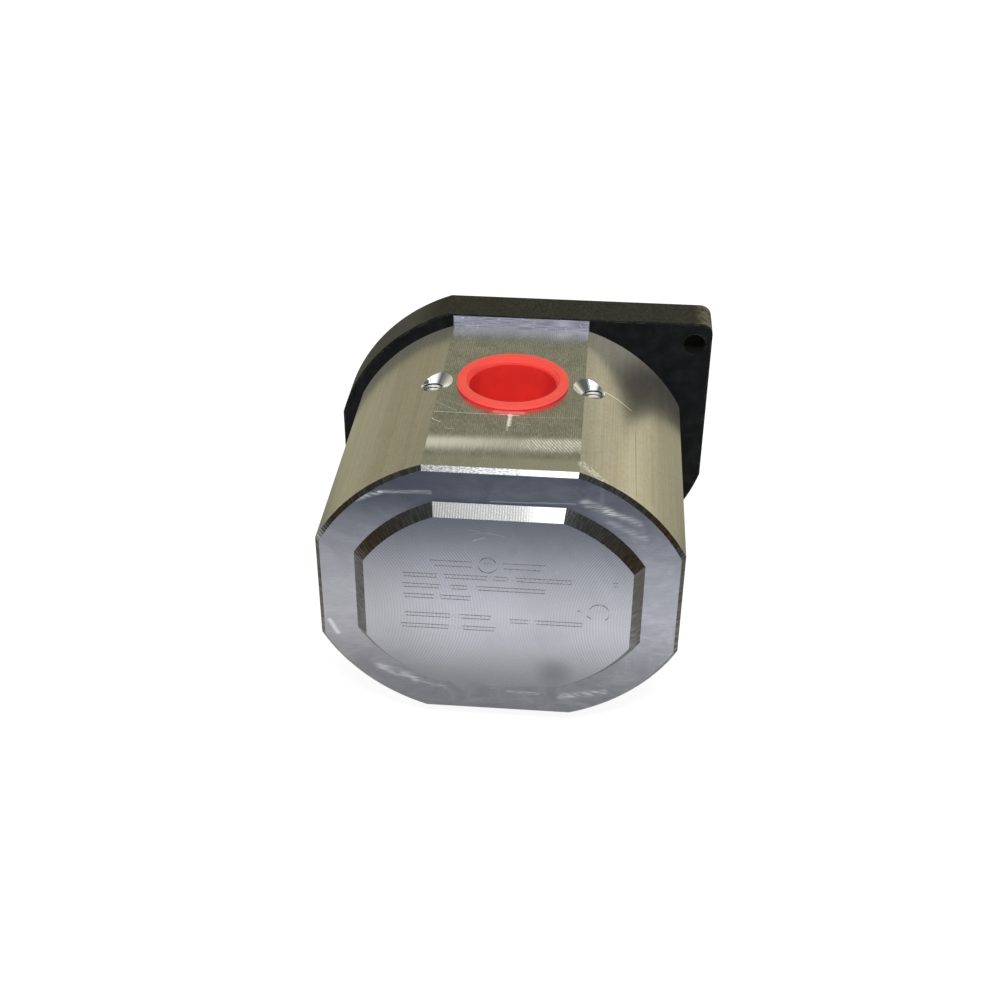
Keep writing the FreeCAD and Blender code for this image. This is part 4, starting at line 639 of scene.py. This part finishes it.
# ------------------------------------------------------------------------------------------------
# black painted cast iron of the flange
# ------------------------------------------------------------------------------------------------
def flange_material():
    m = Material("flange_cast_iron")
    x, y, z = m.position()
    x = x - MIDDLE_X
    _, ny, _ = m.facing()
    m.bevel(0.0006, samples=6)

    # where on the flange a point is
    back = ny.abs().step(0.93, 0.98) * y.step(-0.0225, -0.0232)     # face looking to -Y
    front = ny.step(0.93, 0.98) * y.step(-0.001, 0.0)               # face looking to +Y
    rim = ny.abs().step(0.30, 0.10)
    hole_x, hole_z = (x - 0.0012).abs() - 0.0863, z.abs() - 0.0626  # from the corner holes
    hole = (hole_x * hole_x + hole_z * hole_z).sqrt().step(0.0060, 0.0054)
    # strip of the -Y face that the cutter bared while it milled the body's flat
    strip = (back * x.step(-0.0346, -0.0340) * x.step(0.0344, 0.0338)
             * z.step(0.0655, 0.0665))

    cast = m.noise(900.0, detail=5.0, rough=0.65)
    grit = m.noise(1700.0, detail=3.0, rough=0.7)
    lump = m.noise(160.0, detail=3.0, rough=0.6)
    pit = m.voronoi(m.coordinates["Object"], scale=700.0).step(0.28, 0.05)
    wear_noise = m.noise(240.0, detail=4.0, rough=0.7)
    strip_lines = m.noise((110.0, 0.0, 2400.0), detail=3.0, rough=0.6)
    strip_spots = m.noise((500.0, 0.0, 700.0), detail=3.0, rough=0.7)

    # paint rubbed off at the edges, and at two opposite corners of the rim
    wear = (m.edge(0.0011) * wear_noise.step(0.46, 0.62)).clamp()
    corners = (x.step(0.086, 0.094) * z.step(0.062, 0.070)
               + x.step(-0.084, -0.093) * z.step(-0.062, -0.070))
    worn_rim = (rim * corners * wear_noise.step(0.34, 0.60)).clamp()

    face_color = m.layers(
        (0.0035, 0.0038, 0.0045),
        (lump.step(0.35, 0.70), (0.0075, 0.0080, 0.0088)),
        (grit.step(0.56, 0.74) * 0.5, (0.028, 0.028, 0.026)))
    rim_color = m.layers(
        (0.0034, 0.0038, 0.0025),
        (cast.step(0.40, 0.66), (0.015, 0.016, 0.0105)),
        (grit.step(0.52, 0.68) * 0.6, (0.056, 0.057, 0.038)),
        (x.step(-0.040, -0.060) * 0.45, (0.060, 0.062, 0.053)))
    strip_color = m.layers(
        (0.20, 0.205, 0.26),
        (strip_lines.step(0.38, 0.64), (0.40, 0.41, 0.50)),
        (strip_spots.step(0.60, 0.72) * 0.8, (0.90, 0.90, 0.95)))
    color = m.layers(
        face_color,
        (rim, rim_color),
        (front, (0.020, 0.020, 0.022)),
        (wear * 0.45, (0.15, 0.145, 0.10)),
        (worn_rim * 0.50, (0.20, 0.19, 0.12)),
        # corner hole walls near black: painted shade in the holes
        (hole * rim, (0.006, 0.006, 0.006)),
        (strip, strip_color))

    rough = m.lerp(rim, m.lerp(cast, 0.42, 0.66), m.lerp(cast, 0.50, 0.74))
    height = cast * 0.00005 + lump * 0.00012 - pit * 0.00004 + grit * 0.00002
    m.bump(height * rim * 1.6 + height * 0.35 * rim.inv() * strip.inv()
           + strip_lines * 0.00001 * strip)

    # painted reflection: for reflected rays the -Y face and corner holes glow faintly, so the bare
    # metal beside the paint mirrors a sheen of a lit room, not plain black
    light_path = add_node(m.tree, "LightPath")
    sheen = (Number(m.tree, light_path.outputs["Is Glossy Ray"]) * (back + hole * rim)
             * strip.inv() * m.lerp(x.step(-0.045, 0.045), 0.16, 0.30)
             * m.lerp(x.step(0.074, 0.050), 0.24, 1.0))
    return m.finish(
        base_color=color,
        metallic=(strip * 0.30 + (wear + worn_rim) * 0.30).clamp(),
        roughness=m.lerp(hole * rim, m.lerp(strip, rough, 0.34), 0.9),
        specular_ior_level=m.lerp(rim, 0.16, m.lerp(hole, 0.30, 0.03)),
        emission_color=(1.0, 0.96, 0.82),
        emission_strength=sheen)


# ------------------------------------------------------------------------------------------------
# red moulded plastic of the caps
# ------------------------------------------------------------------------------------------------
def cap_material():
    m = Material("cap_red_plastic")
    _, _, z = m.position()
    _, _, nz = m.facing()
    grain = m.noise(1500.0, detail=3.0, rough=0.6)
    cloud = m.noise(90.0, detail=3.0)
    flow = m.noise((60.0, 60.0, 900.0))
    lip = z.abs().step(0.0668, 0.0676)
    outward = nz * (z.step(-0.01, 0.01) * 2.0 - 1.0)    # 1 where the face looks away from the body
    m.bump(grain * 0.000012 + flow * 0.00001)
    return m.finish(
        base_color=m.layers(
            (0.47, 0.019, 0.016),
            (cloud.step(0.30, 0.75), (0.55, 0.024, 0.020)),
            (lip, (0.52, 0.048, 0.034)),
            (flow.step(0.45, 0.70) * 0.18, (0.50, 0.012, 0.010))),
        roughness=m.lerp(cloud, 0.30, 0.44),
        subsurface_weight=0.15,
        subsurface_radius=(0.006, 0.0012, 0.0008),
        subsurface_scale=1.0,
        specular_ior_level=0.5,
        # painted light: the underside of the thin rim glows red, taking away the shade under it
        emission_color=(0.80, 0.095, 0.09),
        emission_strength=(lip * outward.step(0.60, -0.1) * 0.62).clamp())


# ------------------------------------------------------------------------------------------------
# turned, ground and plated metals, rubber, back-up plastic
# ------------------------------------------------------------------------------------------------
def turned(name, base, dark, rough, oxide=0.0, tint=(0.30, 0.20, 0.12), axis_x=0.0, coat=0.0):
    """Metal turned about an axis along Y: fine rings, mottling, brighter edges."""
    m = Material(name)
    x, y, z = m.position()
    _, ny, _ = m.facing()
    m.bevel(0.00025, samples=4)
    radius = ((x - axis_x) * (x - axis_x) + z * z).sqrt()
    along = m.lerp(ny.abs().step(0.6, 0.9), y, radius)      # across the rings
    waver = m.noise(1.0, rough=0.6, at=m.vector(along * 2600.0, 0.0, 0.0))
    rings = along.wave(pitch=0.00035, phase=waver * 2.0)
    cloud = m.noise(130.0, detail=4.0, rough=0.6, distort=0.6)
    fine = m.noise(1900.0, detail=3.0, rough=0.6)
    coats = [(cloud.step(0.32, 0.72), dark),
             (waver.step(0.45, 0.75) * 0.25, tuple(c * 0.72 for c in base))]
    if oxide:
        patches = m.noise(60.0, detail=4.0, rough=0.65).step(0.52, 0.74)
        coats.append((patches * oxide, tint))
    coats.append((m.edge(0.0006) * fine.step(0.38, 0.58) * 0.6,
                  tuple(min(1.0, c * 1.5 + 0.08) for c in base)))
    m.bump(rings * 0.000005 + fine * 0.000002 + cloud * 0.000006)
    coating = {"coat_weight": coat, "coat_roughness": 0.25} if coat else {}
    return m.finish(
        base_color=m.layers(base, *coats),
        metallic=1.0,
        roughness=(m.lerp(cloud, *rough) + (fine - 0.5) * 0.12).clamp(),
        **coating)


def ground_steel(name, axis_x):
    return turned(name, (0.60, 0.595, 0.58), (0.42, 0.41, 0.39), (0.16, 0.30), oxide=0.35,
                  axis_x=axis_x)


def rubber(name, base):
    m = Material(name)
    grain = m.noise(700.0, detail=4.0, rough=0.6)
    cloud = m.noise(90.0, detail=3.0, rough=0.6)
    m.bump(grain * 0.00002)
    return m.finish(
        base_color=m.layers(
            base,
            (cloud.step(0.35, 0.7), tuple(c * 1.9 + 0.004 for c in base)),
            (grain.step(0.58, 0.72) * 0.3, (0.13, 0.12, 0.11))),
        roughness=m.lerp(grain, 0.48, 0.72),
        sheen_weight=0.08)


def backup_plastic():
    m = Material("backup_ring_plastic")
    grain = m.noise(900.0, detail=3.0, rough=0.6)
    cloud = m.noise(110.0, detail=3.0, rough=0.6)
    m.bump(grain * 0.000012)
    return m.finish(
        base_color=m.layers((0.72, 0.69, 0.58), (cloud.step(0.3, 0.75), (0.80, 0.78, 0.70))),
        roughness=m.lerp(grain, 0.34, 0.52),
        subsurface_weight=0.1,
        subsurface_radius=(0.002, 0.0018, 0.0014),
        subsurface_scale=1.0)


# material, pieces that wear it; turned metals give base colour, dark colour, roughness range
WEARERS = (
    (body_material(), "pump_body"),
    (flange_material(), "mounting_flange"),
    (ground_steel("shaft_ground_steel", axis_x=0.0), "drive_gear_shaft"),
    (ground_steel("driven_gear_steel", axis_x=DRIVEN_X), "driven_gear"),
    (turned("screw_black_oxide", (0.075, 0.073, 0.072), (0.035, 0.035, 0.036), (0.34, 0.52),
            coat=0.15), "flange_screws"),
    (turned("washer_zinc", (0.66, 0.67, 0.68), (0.50, 0.51, 0.53), (0.26, 0.42)),
     "flange_screw_washers seal_spacer shaft_washer"),
    (turned("nut_yellow_zinc", (0.66, 0.55, 0.28), (0.50, 0.42, 0.24), (0.24, 0.38),
            oxide=0.5, tint=(0.52, 0.40, 0.48)), "shaft_nut"),
    (turned("key_milled_steel", (0.50, 0.49, 0.47), (0.36, 0.35, 0.33), (0.28, 0.42)),
     "dowel_pins shaft_key"),
    (turned("spring_oiled_steel", (0.20, 0.19, 0.18), (0.10, 0.10, 0.10), (0.26, 0.40)),
     "seal_garter_springs seal_retaining_ring"),
    (turned("block_aluminium", (0.76, 0.755, 0.74), (0.62, 0.61, 0.59), (0.24, 0.38)),
     "front_bearing_block rear_bearing_block"),
    (turned("bush_bronze", (0.62, 0.40, 0.19), (0.42, 0.27, 0.15), (0.26, 0.42), oxide=0.3),
     "front_drive_bush front_driven_bush rear_drive_bush rear_driven_bush"),
    (rubber("seal_black_rubber", (0.012, 0.012, 0.013)),
     "joint_seal_ring front_pressure_seal rear_pressure_seal"),
    (rubber("lip_seal_brown_rubber", (0.045, 0.022, 0.012)), "inner_shaft_seal outer_shaft_seal"),
    (backup_plastic(), "front_backup_ring rear_backup_ring"),
    (cap_material(), "suction_port_plug pressure_port_plug"),
)
material_of = {piece: material for material, names in WEARERS for piece in names.split()}
for piece_name, piece in pieces.items():
    if not piece.material_slots:
        piece.data.materials.append(material_of[piece_name])
    for slot in piece.material_slots:
        slot.material = material_of[piece_name]


# ------------------------------------------------------------------------------------------------
# moulded caps: cups redrawn as smooth lathe forms with soft rims and moulding marks
# ------------------------------------------------------------------------------------------------
def rounded(corners, steps=5):
    """Corners (r, z, fillet radius) turned into a smooth open profile of (r, z)."""
    profile = []
    for i, (r, z, fillet) in enumerate(corners):
        if fillet <= 0 or i in (0, len(corners) - 1):
            profile.append((r, z))
            continue
        corner = Vector((r, z))
        before = Vector(corners[i - 1][:2]) - corner
        after = Vector(corners[i + 1][:2]) - corner
        half = before.angle(after) / 2
        # the fillet may use up to 0.49 of each neighbouring side
        reach = min(fillet / math.tan(half), before.length * 0.49, after.length * 0.49)
        radius = reach * math.tan(half)
        bisector = (before.normalized() + after.normalized()).normalized()
        centre = corner + bisector * (radius / math.sin(half))
        start = corner + before.normalized() * reach - centre
        end = corner + after.normalized() * reach - centre
        turn = start.angle_signed(end)
        for k in range(steps + 1):
            t = -turn * k / steps
            profile.append((centre.x + start.x * math.cos(t) - start.y * math.sin(t),
                            centre.y + start.x * math.sin(t) + start.y * math.cos(t)))
    return profile


def lathe(name, profile, centre, down, warp, segments=144):
    """Closed solid of revolution about a vertical axis; the profile starts and ends on it."""
    verts, faces, rings = [], [], []
    for r, z in profile:
        if r < 1e-7:
            rings.append([len(verts)])
            verts.append((0.0, 0.0, z))
            continue
        rings.append(list(range(len(verts), len(verts) + segments)))
        for k in range(segments):
            angle = 2 * math.pi * k / segments
            warped_r, warped_z = warp(r, z, angle)
            verts.append((warped_r * math.cos(angle), warped_r * math.sin(angle), warped_z))
    for a, b in zip(rings, rings[1:]):
        for k in range(segments):
            following = (k + 1) % segments
            if len(a) == 1:
                faces.append((a[0], b[k], b[following]))
            elif len(b) == 1:
                faces.append((a[k], b[0], a[following]))
            else:
                faces.append((a[k], b[k], b[following], a[following]))
    side = -1.0 if down else 1.0
    cx, cy, cz = centre
    mesh = bpy.data.meshes.new(name)
    mesh.from_pydata([(x + cx, side * y + cy, side * z + cz) for x, y, z in verts], [], faces)
    mesh.validate()
    mesh.update()
    bm = bmesh.new()
    bm.from_mesh(mesh)
    bmesh.ops.recalc_face_normals(bm, faces=bm.faces)
    bm.to_mesh(mesh)
    bm.free()
    for polygon in mesh.polygons:
        polygon.use_smooth = True
    obj = bpy.data.objects.new(name, mesh)
    scene.collection.objects.link(obj)
    return obj


def cap(name, node, body, rim_r, top_r, bottom_r, depth, down):
    """Cup pushed into a port: z = 0 is the underside of its rim, the floor is at -depth."""
    rim_height = 2.20 * MM
    wall = 1.4 * MM
    inner_r = top_r - wall
    floor_z = -depth + 1.6 * MM
    corners = [     # r, z, fillet radius
        # outside, from the middle of the bottom up to the rim
        (0, -depth, 0), (bottom_r - 0.2 * MM, -depth, 0.9 * MM),
        (top_r - 0.05 * MM, -0.9 * MM, 0.4 * MM), (top_r + 0.25 * MM, 0.0, 0.25 * MM),
        (rim_r - 0.05 * MM, 0.0, 0.5 * MM), (rim_r, 1.0 * MM, 0.5 * MM),
        (rim_r - 0.10 * MM, 2.15 * MM, 0.5 * MM), (top_r + 1.2 * MM, rim_height, 0.4 * MM),
        # inside wall
        (inner_r + 0.75 * MM, 2.05 * MM, 0.5 * MM), (inner_r + 0.35 * MM, -0.60 * MM, 0.20 * MM),
        (inner_r - 0.60 * MM, -1.10 * MM, 0.25 * MM),
        (bottom_r - wall - 0.8 * MM, -depth + 1.7 * MM, 1.6 * MM),
        # floor with a raised ring and a pip in the middle
        (bottom_r * 0.62, floor_z, 0.1 * MM), (bottom_r * 0.60, -depth + 1.9 * MM, 0.15 * MM),
        (bottom_r * 0.56, -depth + 1.9 * MM, 0.15 * MM), (bottom_r * 0.54, floor_z, 0.1 * MM),
        (3.6 * MM, floor_z, 0.2 * MM), (3.2 * MM, -depth + 2.1 * MM, 0.2 * MM),
        (1.5 * MM, -depth + 2.15 * MM, 0.1 * MM), (1.3 * MM, -depth + 1.95 * MM, 0.05 * MM),
        (0, -depth + 1.95 * MM, 0),
    ]

    def warp(r, z, angle):
        """The rim of a hand-pushed cap dips and rises by a tenth of a millimetre."""
        share = max(0.0, min(1.0, (r - 0.8 * top_r) / (0.2 * top_r)))
        if z <= -0.5 * MM:
            share = 0.0
        rise = 0.06 * MM * math.sin(2 * angle + 0.6) + 0.04 * MM * math.sin(3 * angle + 2.0)
        return r, z + rise * share

    low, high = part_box(node)
    rim_z = low.z + rim_height if down else high.z - rim_height
    obj = lathe(name, rounded(corners), (MIDDLE_X, PORT_Y, rim_z), down, warp)
    obj.data.materials.append(material_of[node])
    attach(obj, body)
    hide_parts(node)


cap("suction_cap_moulding", "suction_port_plug", "suction_plug",
    rim_r=0.02635, top_r=0.0226, bottom_r=0.0209, depth=0.0230, down=False)
cap("pressure_cap_moulding", "pressure_port_plug", "pressure_plug",
    rim_r=0.0182, top_r=0.0146, bottom_r=0.0136, depth=0.0140, down=True)


# ------------------------------------------------------------------------------------------------
# stage: pale floor, and a gentle surround for the bare metal to mirror
# ------------------------------------------------------------------------------------------------
FLOOR_HALF_SIDE = 6.0
RAMP_START = -0.60      # y where the mirrored ramp begins; it ends at y = 0

# what bare metal mirrors in the floor on the camera's side: y, colour;
# dim and bluish far off, light nearer, dimmer again close by
MIRRORED_FLOOR = (
    (-0.60, (0.050, 0.066, 0.100)), (-0.385, (0.062, 0.085, 0.130)),
    (-0.335, (0.15, 0.175, 0.225)), (-0.300, (0.50, 0.515, 0.565)),
    (-0.262, (1.02, 1.02, 1.09)), (-0.232, (0.80, 0.80, 0.845)),
    (-0.205, (0.40, 0.40, 0.42)), (-0.175, (0.34, 0.34, 0.35)), (-0.05, (0.32, 0.31, 0.29)))


def mirrored_floor_color(tree):
    x, y, _ = split(tree, add_node(tree, "TexCoord").outputs["Object"])
    ramp = add_node(tree, "ValToRGB", {0: y.remap(RAMP_START, 0.0, 0.0, 1.0)})
    elements = ramp.color_ramp.elements
    while len(elements) < len(MIRRORED_FLOOR):
        elements.new(0.5)
    for element, (stop_y, color) in zip(elements, MIRRORED_FLOOR):
        element.position = (stop_y - RAMP_START) / -RAMP_START
        element.color = (*color, 1.0)
    # brownish at the sides, light beige beyond the pump
    side = (x - MIDDLE_X).abs().step(0.105, 0.20) * y.step(-0.30, -0.16)
    color = mix_color(tree, side, ramp.outputs[0], (0.165, 0.157, 0.128))
    return mix_color(tree, y.step(-0.02, 0.20), color, (0.42, 0.40, 0.27))


def floor_material():
    material = bpy.data.materials.new("floor_pale")
    material.use_nodes = True
    tree = material.node_tree
    tree.nodes.clear()
    output = add_node(tree, "OutputMaterial")
    rays = add_node(tree, "LightPath").outputs
    # the camera sees white with a trace of shadow
    white = add_node(tree, "Emission", {0: (1.0, 1.0, 1.0), 1: 0.90}).outputs[0]
    shadowed = add_node(tree, "BsdfDiffuse", {0: (0.15, 0.15, 0.15)}).outputs[0]
    seen = add_node(tree, "AddShader", {0: white, 1: shadowed}).outputs[0]
    # light bounces off a plain grey
    bounce = add_node(tree, "BsdfDiffuse", {0: (0.72, 0.72, 0.72)}).outputs[0]
    mirror = add_node(tree, "Emission", {0: mirrored_floor_color(tree), 1: 1.0}).outputs[0]
    shader = mix_shader(tree, rays["Is Glossy Ray"], bounce, mirror)
    shader = mix_shader(tree, rays["Is Camera Ray"], shader, seen)
    # from underneath the floor is clear, so the underside can be looked at
    underneath = add_node(tree, "NewGeometry").outputs["Backfacing"]
    clear = add_node(tree, "BsdfTransparent").outputs[0]
    feed(tree, output.inputs[0], mix_shader(tree, underneath, shader, clear))
    return material


def floor():
    s = FLOOR_HALF_SIDE
    mesh = bpy.data.meshes.new("studio_floor")
    mesh.from_pydata([(x, y, FLOOR_Z) for x, y in ((-s, -s), (s, -s), (s, s), (-s, s))],
                     [], [(0, 1, 2, 3)])
    obj = bpy.data.objects.new("studio_floor", mesh)
    scene.collection.objects.link(obj)
    mesh.materials.append(floor_material())


def mirrored_room_color(tree):
    """Room mirrored by the metal; x, y and z are the direction looked in."""
    x, y, z = split(tree, add_node(tree, "TexCoord").outputs["Generated"])
    # on +Y: beige near the horizon, more so towards +X, olive-grey higher up
    beyond = y.step(0.10, 0.60)
    beige = mix_color(tree, x.step(-0.45, 0.45), (0.385, 0.352, 0.230), (0.77, 0.70, 0.495))
    beyond_color = mix_color(tree, z.step(0.26, 0.50), beige, (0.34, 0.335, 0.245))
    # elsewhere: dark brown low down, dark grey higher up
    side = mix_color(tree, z.step(0.10, 0.75), (0.050, 0.034, 0.018), (0.055, 0.06, 0.065))
    color = mix_color(tree, beyond, side, beyond_color)
    # small window high up on -Y: it whitens the upper bevels
    window = (x.step(-0.14, -0.04) * x.step(0.24, 0.14) * y.step(-0.70, -0.60)
              * y.step(-0.16, -0.27) * z.step(0.5, 0.6))
    for mask, patch in (
            (y.step(-0.62, -0.80), (0.46, 0.46, 0.45)),         # level, on -Y
            (z.step(0.80, 0.94), (0.66, 0.66, 0.65)),           # overhead
            (x.abs().step(0.86, 0.95) * y.step(0.0, 0.14), (0.46, 0.455, 0.43)),    # flanks
            (window, (1.75, 1.75, 1.72))):
        color = mix_color(tree, mask, color, patch)
    return color


def surround():
    world = bpy.data.worlds.new("surround")
    scene.world = world
    world.use_nodes = True
    tree = world.node_tree
    tree.nodes.clear()
    output = add_node(tree, "OutputWorld")
    rays = add_node(tree, "LightPath").outputs

    def background(color, strength):
        return add_node(tree, "Background", {0: color, 1: strength}).outputs[0]

    mirror = background(mirrored_room_color(tree), strength=1.0)
    soft = background((0.97, 0.98, 1.0), strength=0.55)
    white = background((1.0, 1.0, 1.0), strength=1.0)
    shader = mix_shader(tree, rays["Is Glossy Ray"], soft, mirror)
    feed(tree, output.inputs[0], mix_shader(tree, rays["Is Camera Ray"], shader, white))


floor()
surround()


# ------------------------------------------------------------------------------------------------
# lights
# ------------------------------------------------------------------------------------------------
LIGHT_TARGET = Vector((MIDDLE_X, -0.09, 0.02))


def area_light(name, direction, distance, size, power, color, mirrored=False):
    """Rectangular lamp that stands off in a direction from the target and faces it."""
    light = bpy.data.lights.new(name, "AREA")
    light.shape = "RECTANGLE"
    light.size, light.size_y = size
    light.energy = power
    light.color = color
    obj = bpy.data.objects.new(name, light)
    scene.collection.objects.link(obj)
    backward = Vector(direction).normalized()
    sideways = Vector((0, 0, 1)).cross(backward).normalized()
    upward = backward.cross(sideways)
    obj.location = LIGHT_TARGET + backward * distance
    obj.rotation_euler = Matrix((sideways, upward, backward)).transposed().to_euler()
    if not mirrored:
        obj.visible_glossy = False


# soft light all round; bare metal mirrors the surround and not these lamps
area_light("key_softbox", direction=(0.075, -0.55, 0.83), distance=1.3, size=(0.42, 0.30),
           power=20.0, color=(1.0, 0.995, 0.97))
area_light("fill_left", direction=(-0.9, -0.5, 0.9), distance=1.8, size=(0.5, 0.5),
           power=4.0, color=(0.92, 0.96, 1.0))
area_light("rim_back", direction=(0.3, 0.9, 0.62), distance=1.6, size=(0.9, 0.25),
           power=5.0, color=(1.0, 0.97, 0.86))
# a small lamp that plastic, paint and plated steel pick up as a highlight
area_light("glint_lamp", direction=(0.35, -0.25, 0.9), distance=1.2, size=(0.20, 0.14),
           power=0.6, color=(1.0, 1.0, 1.0), mirrored=True)


# ------------------------------------------------------------------------------------------------
# camera and picture settings
# ------------------------------------------------------------------------------------------------
CAMERA_PLACE = Vector((0.068835, -0.67797, 0.39008))
CAMERA_AXES = (
    (0.99670815, 0.08077948, 0.00689554),       # right
    (-0.04979219, 0.54280089, 0.83838412),      # up
    (0.06398133, -0.83596763, 0.54503625))      # backward, away from the pump

camera_data = bpy.data.cameras.new("camera")
camera_data.sensor_width = 36.0     # mm
camera_data.lens = 51.61824         # mm
camera_data.clip_start = 0.01
camera_data.clip_end = 50.0
camera = bpy.data.objects.new("camera", camera_data)
scene.collection.objects.link(camera)
camera.matrix_world = (Matrix.Translation(CAMERA_PLACE)
                       @ Matrix(CAMERA_AXES).transposed().to_4x4())
scene.camera = camera

scene.view_settings.view_transform = "Standard"
scene.view_settings.look = "None"
scene.view_settings.exposure = 0.0
scene.view_settings.gamma = 1.0
scene.cycles.use_denoising = True
scene.cycles.sample_clamp_indirect = 6.0
